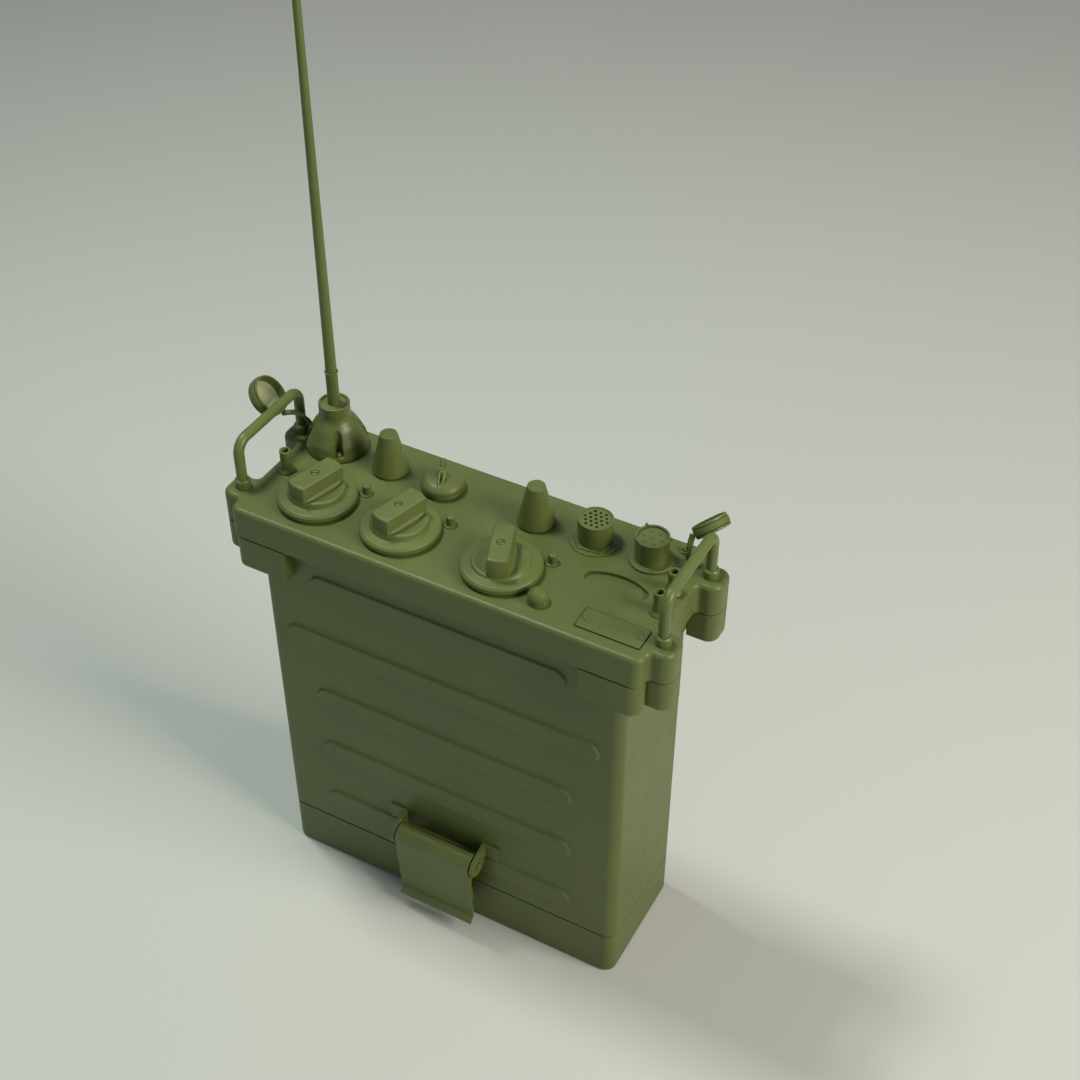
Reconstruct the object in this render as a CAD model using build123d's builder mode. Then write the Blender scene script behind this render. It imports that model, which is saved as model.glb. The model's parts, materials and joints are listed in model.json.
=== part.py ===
"""Manpack radio set: a cast control panel on a ribbed case, with a battery box latched underneath.

Millimetres, +Z up, the front face towards -Y. The origin is the middle of the battery box's underside.
Each sub-part is one node, written to parts/NODE.step.
"""

import math
import os

from build123d import *

os.makedirs("parts", exist_ok=True)

# ---------------------------------------------------------------- driving dimensions
# Body
body_height = 292.0  # underside of the battery box to the top face of the panel
panel_width = 263.0
panel_depth = 100.0
end_overhang = 12.0  # of the panel beyond the case at each end
front_overhang = 8.5  # and at the front and rear
case_corner = 7.0
wall = 2.5
battery_height = 35.0
gasket = 1.0
gasket_inset = 0.8
floor_thickness = 3.0

# Raised ribs on the case, top to bottom, front and rear
rib_half_lengths = (85.0, 106.0, 89.0, 89.0, 89.0)
rib_height = 16.5
rib_relief = 1.5
rib_pitch = 47.5
lowest_rib = 57.0
rib_taper = 35.0

# Control panel casting
panel_plate = 4.0
panel_skirt = 20.0
panel_corner = 6.0
skirt_wall = 8.0
edge_round = 3.0
boss_proud = 13.0  # of the panel's end face
boss_width = 20.0
boss_corner = 7.0
boss_blend = 3.0
boss_overlap = 1.0  # how far a boss runs into the panel's edge beyond the handle's axis

# Rim that clamps the case to the panel
rim_flange = 4.0
rim_depth = 22.0
rim_inset = 4.5
pad_length = 36.5
pad_corner = 8.0
end_collar_depth = 15.0
block_chamfer = 2.0

# Carrying handles
handle_offset = 3.5  # of the handle's plane from the panel's end face
handle_y = 30.0
handle_rod = 3.15
handle_top = 31.0
handle_bend = 8.0
handle_sink = 36.0
handle_bore_gap = 0.05
collar_radius = 4.6
collar_height = 6.0

# Controls
shaft_radius = 3.0
running_gap = 0.05
bush_radius = 4.8
bush_depth = 9.0
bush_flange = 0.6
bush_flange_radius = 7.0
nut_radius = 7.5
nut_height = 3.0
knob_lift = 1.0
knob_places = {"left": (-90.4, -19.1), "middle": (-34.0, -19.7), "right": (31.7, -20.2)}
knob_angles = {"left": -15.0, "middle": -15.0, "right": 21.0}
knob_steps = {"left": 4.0, "middle": 4.0, "right": 2.0}
knob_bars = {"left": 13.0, "middle": 13.0, "right": 12.0}
skirt_radius = 23.5
skirt_height = 4.5
skirt_bevel = 1.2
hub_radius = 16.25
bar_top = 19.5
bar_round = 2.0
knob_bore_depth = 14.0
knob_screw_head = 2.3
knob_screw_shank = 1.4
knob_screw_proud = 0.4
shaft_depths = {"left": 58.0, "middle": 40.0, "right": 40.0}
cone_places = {"volume": (-68.0, 24.2), "squelch": (29.5, 23.9)}
cone_base = 11.2
cone_tip = 5.25
cone_height = 26.5
cone_round = 1.0
cone_bore_depth = 16.0
winged_place = (-32.3, 24.0)
winged_radius = 13.0
winged_rim = 5.0
winged_dome = 9.5
winged_crown = -16.0  # radius of the domed skirt's outline
winged_hub = 4.0
winged_top = 12.0
blade_offset = 1.9
blade_thickness = 1.0
blade_outline = ((-10.0, 5.6), (-3.0, 11.0), (2.5, 11.0), (4.5, 19.0), (6.0, 9.0), (-3.0, 8.6))  # (back, up)
small_shaft_depth = 18.0
wafer_radius = 16.0
wafer_thickness = 1.6
wafer_drops = (20.0, 30.0)
pot_radius = 10.0
pot_height = 10.0
shaft_play = 0.5
index_places = ((-68.4, -1.1), (-11.8, -1.7), (54.1, -2.2))
index_washer = 4.2
index_stud = 2.5
index_height = 6.5
index_washer_height = 1.2
index_round = 0.8

# Tuning gears and capacitor
gear_module = 1.0
pinion_teeth = 22
wheel_teeth = 42
gear_thickness = 4.0
tooth_root = 1.15  # below the pitch circle, in modules
tooth_tip = 0.85  # above it
root_share = 0.36  # half a tooth's width at its root and tip, in tooth steps
tip_share = 0.12
gear_drop = 56.0
gear_bearing = 10.0  # direction of the capacitor from the left knob, degrees
rotor_radius = 13.0
rotor_plates = 6
rotor_plate = 1.0
rotor_pitch = 4.0
rotor_clear = 8.0  # deck to the first plate
stator_spine = 3.0

# Antenna
antenna_place = (-108.5, 29.0)
antenna_foot = 18.7
antenna_foot_height = 3.0
antenna_slope = ((15.1, 9.6), (12.3, 15.5))  # (radius, height) on the bell between foot and neck
antenna_collar = 9.3
antenna_neck_height = 22.0
antenna_height = 32.0
antenna_insert = 7.6
antenna_insert_height = 3.0
antenna_insert_sink = 0.7
antenna_socket_depth = 15.0
antenna_screw_circle = 14.6
antenna_pocket = 2.7
antenna_screw_head = 2.3
antenna_screw_bearing = 37.0
screw_head_height = 1.8
sleeve_radius = 3.6
sleeve_top = 54.0
sleeve_bead = 0.8
whip_radius = 3.35
whip_tip = 1.3
whip_top = 445.0
whip_ball = 2.0

# Connectors, light button, nameplate, posts
socket_places = {"audio": (66.0, 26.0), "power": (100.5, 27.0)}
socket_radii = {"audio": 10.15, "power": 9.75}
socket_heights = {"audio": 16.0, "power": 16.5}
socket_rings_out = {"audio": 14.5, "power": 13.0}
socket_depth = 14.0
socket_wall = 1.2
socket_neck = 0.6  # the barrel is thinner by this much under its ring and through the panel
socket_recesses = {"audio": 0.5, "power": 1.2}
insert_thickness = 8.0
ring_height = 1.6
contact_holes = 0.8
contact_pitch = 3.4
contact_rings = 2  # rows of contacts round the middle one
contact_hole_depth = 3.0
pin_circle = 5.4
pin_radius = 0.8
pin_rise = 0.6
lug_radius = 0.9
lug_length = 1.8
lug_bearing = 15.0
ring_chamfer = 0.5
light_place = (62.0, -33.6)
light_radius = 5.9
light_rise = 9.0
light_travel = 2.0
light_slide = 6.0
bezel_radius = 7.2
bezel_lip = 0.8
bezel_depth = 15.0
spring_wire = 0.5
spring_radius = 4.2
nameplate_place = (107.0, -33.2)
nameplate_width = 38.0
nameplate_depth = 15.0
nameplate_thickness = 0.8
nameplate_corner = 1.0
rivet_reach = 16.5
rivet_radius = 1.6
post_places = ((-121.0, -5.8), (122.7, -10.0), (122.5, 8.4))
post_radius = 3.4
post_foot = 5.2
post_foot_height = 3.0
post_height = 15.0
post_bore = 2.2
post_bore_depth = 12.0
groove_place = (93.0, -28.0)
groove_radius = 30.0
groove_width = 9.0
groove_start = 60.0
groove_sweep = 59.0
groove_depth = 2.2
panel_screw_place = (114.0, 42.2)
panel_screw_head = 2.2
panel_washer = 0.8

# Dust caps on their straps
cap_radii = {"left": 12.2, "right": 10.4}
cap_mouths = {"left": (-12.0, 20.4, 29.5), "right": (-9.6, 44.0, 25.8)}  # x from the handle's plane
cap_facings = {"left": (0.73, 0.20, 0.65), "right": (-0.66, 0.28, 0.70)}
cap_depth = 7.2
cap_bead = 1.6
cap_groove = 0.9
cap_wall = 1.6
cap_floor = 1.6
strap_width = 3.2
strap_thickness = 1.0
strap_lug = 1.5
strap_pivots = {"left": (7.4, 40.5), "right": (-14.5, 38.5)}  # x from the handle's plane
strap_eye = 3.3
strap_routes = {
    "left": (
        (7.2, 37.4, 0.8),
        (6.7, 35.0, 1.5),
        (6.2, 32.2, 5.2),
        (6.0, 29.0, 10.8),
        (5.4, 25.6, 16.0),
        (2.4, 22.6, 19.3),
    ),
    "right": ((-14.7, 35.4, 0.8), (-15.0, 33.6, 2.0), (-15.4, 32.8, 6.0), (-15.1, 32.9, 11.0)),
}
cap_band_width = 3.4
cap_band_proud = 0.4
strap_screw = 1.6
strap_gap = 0.3
strap_screw_head = 2.9

# Battery latches
latch_pivot_out = 10.5  # from the case wall
latch_pivot_height = 66.5
latch_roll = 7.6  # radius of the rolled top, to the middle of its plate
latch_plate = 1.6
roll_angles = (100.0, 60.0, 20.0)  # start, middle and end of the roll, from straight out
latch_half_width = 26.5
cheek = 2.0
cheek_radius = 7.0
cheek_drop = 18.0
bail_wire = 1.1
bail_offset = (0.8, 5.0)  # of the bail's pivot from the lever's pivot: outwards, up
bail_inset = 5.0  # of the bail's legs from the lever's ends
bail_bar_out = 5.2
bail_bar_height = 21.1
pivot_pin = 1.5
pin_head = 2.6
pin_head_height = 1.0
pin_tail = 0.6
ear_clear = 1.0
ear_thickness = 2.5
ear_radius = 7.5
ear_foot = 12.0
ear_foot_low = 66.5
ear_foot_high = 78.0
keeper_half_width = 18.0
keeper_plate = 1.5
keeper_hook = 2.0
keeper_reach = 8.6
keeper_lip = 2.4
keeper_foot = 10.0
lever_end_out = 12.5
lever_end_height = 16.0
lever_lip = 4.0

# Inside
deck_drop = 62.0
chassis_clear = 3.0
chassis_plate = 2.0
chassis_floor = 58.0
post_grid = ((-112.0, -33.0), (112.0, -33.0), (0.0, -32.0), (0.0, 32.0), (-112.0, 2.0), (112.0, 2.0))
standoff = 3.5
board_y = 30.0
board_thickness = 1.6
can_width = 38.0
can_depth = 24.0
can_gap = 4.0
can_corner = 2.0
can_heights = (92.0, 118.0, 104.0, 118.0, 92.0)
front_can_heights = (80.0, 96.0, 80.0)
pack_clear = 5.0
pack_height = 27.0
pack_round = 5.0
plug_length = 34.0
plug_width = 16.0
plug_height = 3.0
plug_gap = 0.2

# ---------------------------------------------------------------- levels and places worked out
top = body_height
case_width = panel_width - 2 * end_overhang
case_depth = panel_depth - 2 * front_overhang
boss_reach = panel_width / 2 + boss_proud
handle_x = panel_width / 2 + handle_offset
pad_inner = panel_width / 2 - pad_length
end_collar_width = case_depth - case_corner
ear_inner = latch_half_width + ear_clear
bail_half_width = latch_half_width - bail_inset
skirt_bottom = top - panel_skirt
case_bottom = battery_height + gasket
case_top = skirt_bottom - gasket
plate_under = top - panel_plate
rim_bottom = skirt_bottom - rim_depth
rim_reach = panel_width / 2 - rim_inset
inner_width = case_width - 2 * wall
inner_depth = case_depth - 2 * wall
inner_corner = case_corner - wall
chassis_length = inner_width - 2 * chassis_clear
chassis_width = inner_depth - 2 * chassis_clear
pack_length = inner_width - 2 * pack_clear
pack_width = inner_depth - 2 * pack_clear
deck = top - deck_drop
front = case_depth / 2
boss_length = 2 * (boss_reach - handle_x + boss_overlap)
boss_middle = boss_reach - boss_length / 2
signs = ((-1, -1), (1, -1), (-1, 1), (1, 1))
shaft_places = [*knob_places.values(), *cone_places.values(), winged_place]
gear_distance = gear_module * (pinion_teeth + wheel_teeth) / 2
capacitor_place = (
    knob_places["left"][0] + gear_distance * math.cos(math.radians(gear_bearing)),
    knob_places["left"][1] + gear_distance * math.sin(math.radians(gear_bearing)),
)


handle_planes = {"left": -handle_x, "right": handle_x}
pivot_places = {side: (handle_planes[side] + x, y) for side, (x, y) in strap_pivots.items()}


def at(points, z=0.0):
    """Locations of (x, y) points at one height."""
    return [Location((x, y, z)) for x, y in points]


# ---------------------------------------------------------------- battery box, at the bottom
with BuildPart() as battery_box:
    with BuildSketch():
        RectangleRounded(case_width, case_depth, case_corner)
    extrude(amount=battery_height)
    fillet(battery_box.faces().sort_by(Axis.Z)[0].edges(), edge_round)
    with BuildSketch(Plane.XY.offset(floor_thickness)):
        RectangleRounded(inner_width, inner_depth, inner_corner)
    extrude(amount=battery_height - floor_thickness, mode=Mode.SUBTRACT)
battery_box.part.label = "battery_box"
export_step(battery_box.part, "parts/battery_box.step")

with BuildPart() as battery_gasket:
    with BuildSketch(Plane.XY.offset(battery_height)):
        RectangleRounded(
            case_width - 2 * gasket_inset,
            case_depth - 2 * gasket_inset,
            case_corner - gasket_inset,
        )
        RectangleRounded(inner_width, inner_depth, inner_corner, mode=Mode.SUBTRACT)
    extrude(amount=gasket)
battery_gasket.part.label = "battery_gasket"
export_step(battery_gasket.part, "parts/battery_gasket.step")

with BuildPart() as battery_pack:
    with BuildSketch(Plane.XY.offset(floor_thickness)):
        RectangleRounded(pack_length, pack_width, pack_round)
    extrude(amount=pack_height)
    with BuildSketch(Plane.XY.offset(floor_thickness + pack_height)):
        RectangleRounded(plug_length, plug_width, edge_round)
    extrude(amount=plug_height)
battery_pack.part.label = "battery_pack"
export_step(battery_pack.part, "parts/battery_pack.step")

# ---------------------------------------------------------------- case
with BuildPart() as case_shell:
    with BuildSketch(Plane.XY.offset(case_bottom)):
        RectangleRounded(case_width, case_depth, case_corner)
    extrude(amount=case_top - case_bottom)
    for face_plane in (
        Plane(origin=(0, -front, 0), x_dir=(1, 0, 0), z_dir=(0, -1, 0)),
        Plane(origin=(0, front, 0), x_dir=(-1, 0, 0), z_dir=(0, 1, 0)),
    ):
        with BuildSketch(face_plane):
            for row, half_length in enumerate(reversed(rib_half_lengths)):
                with Locations((0, lowest_rib + row * rib_pitch)):
                    SlotOverall(2 * half_length, rib_height)
        extrude(amount=rib_relief, taper=rib_taper)
    with BuildSketch(Plane.XY.offset(case_bottom)):
        RectangleRounded(inner_width, inner_depth, inner_corner)
    extrude(amount=case_top - case_bottom, mode=Mode.SUBTRACT)
case_shell.part.label = "case_shell"
export_step(case_shell.part, "parts/case_shell.step")

with BuildPart() as divider_plate:
    with BuildSketch(Plane.XY.offset(case_bottom)):
        RectangleRounded(inner_width, inner_depth, inner_corner)
        RectangleRounded(plug_length, plug_width, edge_round, mode=Mode.SUBTRACT)
    extrude(amount=floor_thickness)
divider_plate.part.label = "divider_plate"
export_step(divider_plate.part, "parts/divider_plate.step")

socket_foot = floor_thickness + pack_height + plug_height + plug_gap
with BuildPart() as battery_socket:
    with BuildSketch(Plane.XY.offset(socket_foot)):
        RectangleRounded(plug_length, plug_width, edge_round)
    extrude(amount=case_bottom + floor_thickness - socket_foot)
    with BuildSketch(Plane.XY.offset(case_bottom + floor_thickness)):
        RectangleRounded(plug_length + 2 * cheek_radius, plug_width + wall, edge_round)
    extrude(amount=wall)
battery_socket.part.label = "battery_socket"
export_step(battery_socket.part, "parts/battery_socket.step")

with BuildPart() as case_rim:
    with BuildSketch(Plane.XY.offset(case_top - rim_flange)):
        RectangleRounded(2 * rim_reach, panel_depth - 2 * rim_inset, panel_corner)
    extrude(amount=rim_flange)
    with BuildSketch(Plane.XY.offset(rim_bottom)):
        RectangleRounded(panel_width, panel_depth, pad_corner)
        Rectangle(2 * pad_inner, 2 * panel_depth, mode=Mode.SUBTRACT)
        Rectangle(2 * panel_width, case_depth, mode=Mode.SUBTRACT)
    extrude(amount=case_top - rim_bottom)
    with BuildSketch(Plane.XY.offset(case_top - end_collar_depth)):
        Rectangle(2 * rim_reach, end_collar_width)
    extrude(amount=end_collar_depth)
    with BuildSketch(Plane.XY.offset(rim_bottom)):
        RectangleRounded(case_width, case_depth, case_corner)
    extrude(amount=case_top - rim_bottom, mode=Mode.SUBTRACT)
case_rim.part.label = "case_rim"
export_step(case_rim.part, "parts/case_rim.step")

block_length = boss_reach - rim_reach
block_middle = boss_reach - block_length / 2
with BuildPart() as clamp_blocks:
    with BuildSketch(Plane.XY.offset(rim_bottom)) as block_plan:
        with Locations(*at([(sx * block_middle, sy * handle_y) for sx, sy in signs])):
            Rectangle(block_length, boss_width)
        outer = block_plan.vertices().filter_by(lambda v: abs(v.X) > boss_reach - 1)
        fillet(outer, boss_corner)
    extrude(amount=case_top - rim_bottom)
    underside = clamp_blocks.faces().filter_by(lambda f: abs(f.center().Z - rim_bottom) < 0.01)
    chamfer(underside.edges().filter_by(lambda e: abs(e.center().X) > rim_reach + 1), block_chamfer)
    with Locations(*at([(sx * handle_x, sy * handle_y) for sx, sy in signs], case_top)):
        Cylinder(
            handle_rod + handle_bore_gap,
            2 * (case_top - top + handle_sink),
            mode=Mode.SUBTRACT,
        )
clamp_blocks.part.label = "clamp_blocks"
export_step(clamp_blocks.part, "parts/clamp_blocks.step")

# ---------------------------------------------------------------- control panel
with BuildPart() as control_panel:
    with BuildSketch(Plane.XY.offset(skirt_bottom)) as cover_plan:
        RectangleRounded(panel_width, panel_depth, panel_corner)
        with Locations(*at([(sx * boss_middle, sy * handle_y) for sx, sy in signs])):
            RectangleRounded(boss_length, boss_width, boss_corner)
        on_end = cover_plan.vertices().filter_by(lambda v: abs(abs(v.X) - panel_width / 2) < 0.01)
        fillet(on_end.filter_by(lambda v: abs(abs(abs(v.Y) - handle_y) - boss_width / 2) < 0.01), boss_blend)
    extrude(amount=panel_skirt)
    fillet(control_panel.faces().sort_by(Axis.Z)[-1].edges(), edge_round)
    with BuildSketch(Plane.XY.offset(skirt_bottom)):
        RectangleRounded(panel_width - 2 * skirt_wall, panel_depth - 2 * skirt_wall, panel_corner)
    extrude(amount=panel_skirt - panel_plate, mode=Mode.SUBTRACT)
    with Locations(*at([(sx * handle_x, sy * handle_y) for sx, sy in signs], top)):
        Cylinder(handle_rod + handle_bore_gap, 3 * panel_skirt, mode=Mode.SUBTRACT)
    with Locations(*at(shaft_places, top)):
        Cylinder(bush_radius, 3 * panel_plate, mode=Mode.SUBTRACT)
    for socket, place in socket_places.items():
        with Locations(*at([place], top)):
            Cylinder(socket_radii[socket] - socket_neck, 3 * panel_plate, mode=Mode.SUBTRACT)
    with Locations(*at([light_place], top)):
        Cylinder(light_slide + cap_wall / 2, 3 * panel_plate, mode=Mode.SUBTRACT)
    with BuildSketch(Plane.XY.offset(top - groove_depth)):
        with BuildLine():
            groove_line = CenterArc(groove_place, groove_radius, groove_start, groove_sweep)
        SlotArc(groove_line, groove_width)
    extrude(amount=groove_depth, mode=Mode.SUBTRACT)
control_panel.part.label = "control_panel"
export_step(control_panel.part, "parts/control_panel.step")

with BuildPart() as panel_gasket:
    with BuildSketch(Plane.XY.offset(case_top)):
        RectangleRounded(2 * rim_reach, panel_depth - 2 * rim_inset, panel_corner)
        RectangleRounded(inner_width, inner_depth, inner_corner, mode=Mode.SUBTRACT)
    extrude(amount=gasket)
panel_gasket.part.label = "panel_gasket"
export_step(panel_gasket.part, "parts/panel_gasket.step")

# ---------------------------------------------------------------- handles
for side, name in ((-1, "handle_left"), (1, "handle_right")):
    with BuildPart() as handle:
        with BuildLine() as handle_path:
            FilletPolyline(
                (side * handle_x, -handle_y, top - handle_sink),
                (side * handle_x, -handle_y, top + handle_top),
                (side * handle_x, handle_y, top + handle_top),
                (side * handle_x, handle_y, top - handle_sink),
                radius=handle_bend,
            )
        with BuildSketch(Plane(origin=handle_path.line @ 0, z_dir=handle_path.line % 0)):
            Circle(handle_rod)
        sweep()
    handle.part.label = name
    export_step(handle.part, f"parts/{name}.step")

with BuildPart() as handle_collars:
    with Locations(*at([(sx * handle_x, sy * handle_y) for sx, sy in signs], top)):
        Cylinder(collar_radius, collar_height, align=(Align.CENTER, Align.CENTER, Align.MIN))
    chamfer(handle_collars.edges().group_by(Axis.Z)[-1], block_chamfer / 2)
    with Locations(*at([(sx * handle_x, sy * handle_y) for sx, sy in signs], top)):
        Cylinder(handle_rod, 3 * collar_height, mode=Mode.SUBTRACT)
handle_collars.part.label = "handle_collars"
export_step(handle_collars.part, "parts/handle_collars.step")

# ---------------------------------------------------------------- bushes, switches and their shafts
with BuildPart() as shaft_bushes:
    with Locations(*at(shaft_places, top - bush_depth)):
        Cylinder(bush_radius, bush_depth, align=(Align.CENTER, Align.CENTER, Align.MIN))
    with Locations(*at(shaft_places, top)):
        Cylinder(bush_flange_radius, bush_flange, align=(Align.CENTER, Align.CENTER, Align.MIN))
        Cylinder(shaft_radius + running_gap, 3 * bush_depth, mode=Mode.SUBTRACT)

with BuildPart() as bush_nuts:
    with BuildSketch(Plane.XY.offset(plate_under - nut_height)):
        with Locations(*at(shaft_places)):
            RegularPolygon(nut_radius, 6)
            Circle(bush_radius, mode=Mode.SUBTRACT)
    extrude(amount=nut_height)
bushes_and_nuts = Compound(label="shaft_bushes", children=[*shaft_bushes.solids(), *bush_nuts.solids()])
export_step(bushes_and_nuts, "parts/shaft_bushes.step")

with BuildPart() as switch_wafers:
    for drop in wafer_drops:
        with BuildSketch(Plane.XY.offset(top - drop - wafer_thickness)):
            with Locations(*at(knob_places.values())):
                Circle(wafer_radius)
                Circle(shaft_radius + shaft_play, mode=Mode.SUBTRACT)
        extrude(amount=wafer_thickness)
    stay_reach = wafer_radius - 2 * pivot_pin
    stay_places = [(x + hand * stay_reach, y) for x, y in knob_places.values() for hand in (-1, 1)]
    with BuildSketch(Plane.XY.offset(top - wafer_drops[-1])):
        with Locations(*at(stay_places)):
            Circle(pivot_pin)
    extrude(amount=wafer_drops[-1] - panel_plate)
switch_wafers.part.label = "switch_wafers"
export_step(switch_wafers.part, "parts/switch_wafers.step")

with BuildPart() as potentiometers:
    with BuildSketch(Plane.XY.offset(top - bush_depth - pot_height)):
        with Locations(*at([*cone_places.values(), winged_place])):
            Circle(pot_radius)
            Circle(shaft_radius + running_gap, mode=Mode.SUBTRACT)
    extrude(amount=pot_height)
potentiometers.part.label = "potentiometers"
export_step(potentiometers.part, "parts/potentiometers.step")


def gear_outline(teeth, phase):
    """Corner points of a straight-flanked spur gear, with its first tooth at the angle phase."""
    pitch_radius = gear_module * teeth / 2
    root = pitch_radius - tooth_root * gear_module
    tip = pitch_radius + tooth_tip * gear_module
    step = 360 / teeth
    shares = ((-root_share, root), (-tip_share, tip), (tip_share, tip), (root_share, root))
    corners = []
    for tooth in range(teeth):
        for share, radius in shares:
            angle = math.radians(phase + (tooth + share) * step)
            corners.append((radius * math.cos(angle), radius * math.sin(angle)))
    return corners


# ---------------------------------------------------------------- large knobs
for side, place in knob_places.items():
    bar_turn = knob_angles[side]
    with BuildPart() as knob:
        with BuildSketch(Plane.XY.offset(top + knob_lift)):
            with Locations(place):
                Circle(skirt_radius)
        extrude(amount=skirt_height)
        chamfer(knob.edges().group_by(Axis.Z)[-1], skirt_bevel)
        with BuildSketch(Plane.XY.offset(top + knob_lift + skirt_height)):
            with Locations(place):
                Circle(hub_radius)
        extrude(amount=knob_steps[side])
        shoulder = top + knob_lift + skirt_height + knob_steps[side]
        with BuildSketch(Plane.XY.offset(shoulder)):
            with Locations(Location(place, bar_turn)):
                Circle(hub_radius)
                Rectangle(knob_bars[side], 3 * hub_radius, mode=Mode.INTERSECT)
        extrude(amount=top + bar_top - shoulder)
        fillet(knob.edges().group_by(Axis.Z)[-1], bar_round)
        with Locations(*at([place], top + knob_lift)):
            Cylinder(shaft_radius, 2 * knob_bore_depth, mode=Mode.SUBTRACT)
        with Locations(*at([place], top + bar_top)):
            Cylinder(knob_screw_head, 2 * knob_screw_head, mode=Mode.SUBTRACT)
            Cylinder(knob_screw_shank, 4 * knob_screw_head, mode=Mode.SUBTRACT)
    name = f"knob_{side}"
    knob.part.label = name
    export_step(knob.part, f"parts/{name}.step")

    with BuildPart() as shaft:
        with Locations(*at([place], top - shaft_depths[side])):
            Cylinder(
                shaft_radius,
                shaft_depths[side] + knob_lift + knob_bore_depth,
                align=(Align.CENTER, Align.CENTER, Align.MIN),
            )
        if side == "left":
            with BuildSketch(Plane.XY.offset(top - gear_drop)):
                with Locations(place):
                    Polygon(*gear_outline(pinion_teeth, gear_bearing), align=None)
            extrude(amount=gear_thickness)
        with Locations(*at([place], top + bar_top - knob_screw_head)):
            Cylinder(
                knob_screw_head,
                knob_screw_head + knob_screw_proud,
                align=(Align.CENTER, Align.CENTER, Align.MIN),
            )
        with Locations(*at([place], top + knob_lift + knob_bore_depth)):
            Cylinder(
                knob_screw_shank,
                bar_top - knob_screw_head - knob_lift - knob_bore_depth,
                align=(Align.CENTER, Align.CENTER, Align.MIN),
            )
    name = f"knob_{side}_shaft"
    shaft.part.label = name
    export_step(shaft.part, f"parts/{name}.step")


# ---------------------------------------------------------------- small knobs
for control, place in cone_places.items():
    with BuildPart() as cone_knob:
        with Locations(*at([place], top + knob_lift)):
            Cone(cone_base, cone_tip, cone_height - knob_lift, align=(Align.CENTER, Align.CENTER, Align.MIN))
        fillet(cone_knob.edges().group_by(Axis.Z)[-1], cone_round)
        with Locations(*at([place], top + knob_lift)):
            Cylinder(shaft_radius, 2 * cone_bore_depth, mode=Mode.SUBTRACT)
    name = f"{control}_knob"
    cone_knob.part.label = name
    export_step(cone_knob.part, f"parts/{name}.step")

for control, place in {**cone_places, "winged": winged_place}.items():
    reach = winged_dome if control == "winged" else knob_lift + cone_bore_depth
    with BuildPart() as small_shaft:
        with Locations(*at([place], top - small_shaft_depth)):
            Cylinder(
                shaft_radius,
                small_shaft_depth + reach,
                align=(Align.CENTER, Align.CENTER, Align.MIN),
            )
    name = f"{control}_shaft"
    small_shaft.part.label = name
    export_step(small_shaft.part, f"parts/{name}.step")

with BuildPart() as winged_knob:
    with BuildSketch(Plane.XZ):
        with BuildLine():
            Polyline((0, knob_lift), (winged_radius, knob_lift), (winged_radius, winged_rim))
            RadiusArc((winged_radius, winged_rim), (winged_hub, winged_dome), winged_crown)
            Polyline((winged_hub, winged_dome), (winged_hub, winged_top), (0, winged_top), (0, knob_lift))
        make_face()
    revolve(axis=Axis.Z)
    for blade_side in (-1, 1):
        with BuildSketch(Plane.YZ.offset(blade_side * blade_offset - blade_thickness / 2)):
            Polygon(*blade_outline, align=None)
        extrude(amount=blade_thickness)
    with Locations((0, 0, knob_lift)):
        Cylinder(shaft_radius, 2 * (winged_dome - knob_lift), mode=Mode.SUBTRACT)
winged_knob.part.label = "winged_knob"
winged_knob.part.position = (winged_place[0], winged_place[1], top)
export_step(winged_knob.part, "parts/winged_knob.step")

with BuildPart() as index_pins:
    with Locations(*at(index_places, top)):
        Cylinder(index_washer, index_washer_height, align=(Align.CENTER, Align.CENTER, Align.MIN))
        Cylinder(index_stud, index_height, align=(Align.CENTER, Align.CENTER, Align.MIN))
    fillet(index_pins.edges().group_by(Axis.Z)[-1], index_round)
index_pins.part.label = "index_pins"
export_step(index_pins.part, "parts/index_pins.step")

# ---------------------------------------------------------------- tuning capacitor
rotor_stack = rotor_plates * rotor_pitch + rotor_clear
with BuildPart() as capacitor_rotor:
    with Locations(*at([capacitor_place], deck - rotor_stack)):
        Cylinder(
            shaft_radius,
            rotor_stack + deck_drop - gear_drop + 2 * gear_thickness,
            align=(Align.CENTER, Align.CENTER, Align.MIN),
        )
    wheel_phase = gear_bearing + 180 + 180 / wheel_teeth
    with BuildSketch(Plane.XY.offset(top - gear_drop)):
        with Locations(capacitor_place):
            Polygon(*gear_outline(wheel_teeth, wheel_phase), align=None)
    extrude(amount=gear_thickness)
    for plate in range(rotor_plates):
        with BuildSketch(Plane.XY.offset(deck - rotor_clear - plate * rotor_pitch)):
            with Locations(capacitor_place):
                Circle(rotor_radius)
                with Locations((0, rotor_radius)):
                    Rectangle(3 * rotor_radius, 2 * (rotor_radius - shaft_radius - 1), mode=Mode.SUBTRACT)
        extrude(amount=rotor_plate)
capacitor_rotor.part.label = "capacitor_rotor"
export_step(capacitor_rotor.part, "parts/capacitor_rotor.step")

stator_back = capacitor_place[1] + rotor_radius + stator_spine + 1
stator_front = capacitor_place[1] + shaft_radius + 2
with BuildPart() as capacitor_stator:
    with BuildSketch(Plane.XY.offset(deck - rotor_stack)):
        with Locations((capacitor_place[0], stator_back - stator_spine / 2)):
            Rectangle(2 * rotor_radius, stator_spine)
    extrude(amount=rotor_stack - chassis_plate)
    for plate in range(rotor_plates):
        with BuildSketch(Plane.XY.offset(deck - rotor_clear - rotor_pitch / 2 - plate * rotor_pitch)):
            with Locations((capacitor_place[0], (stator_back + stator_front) / 2)):
                Rectangle(2 * rotor_radius, stator_back - stator_front)
        extrude(amount=rotor_plate)
capacitor_stator.part.label = "capacitor_stator"
export_step(capacitor_stator.part, "parts/capacitor_stator.step")

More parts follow.
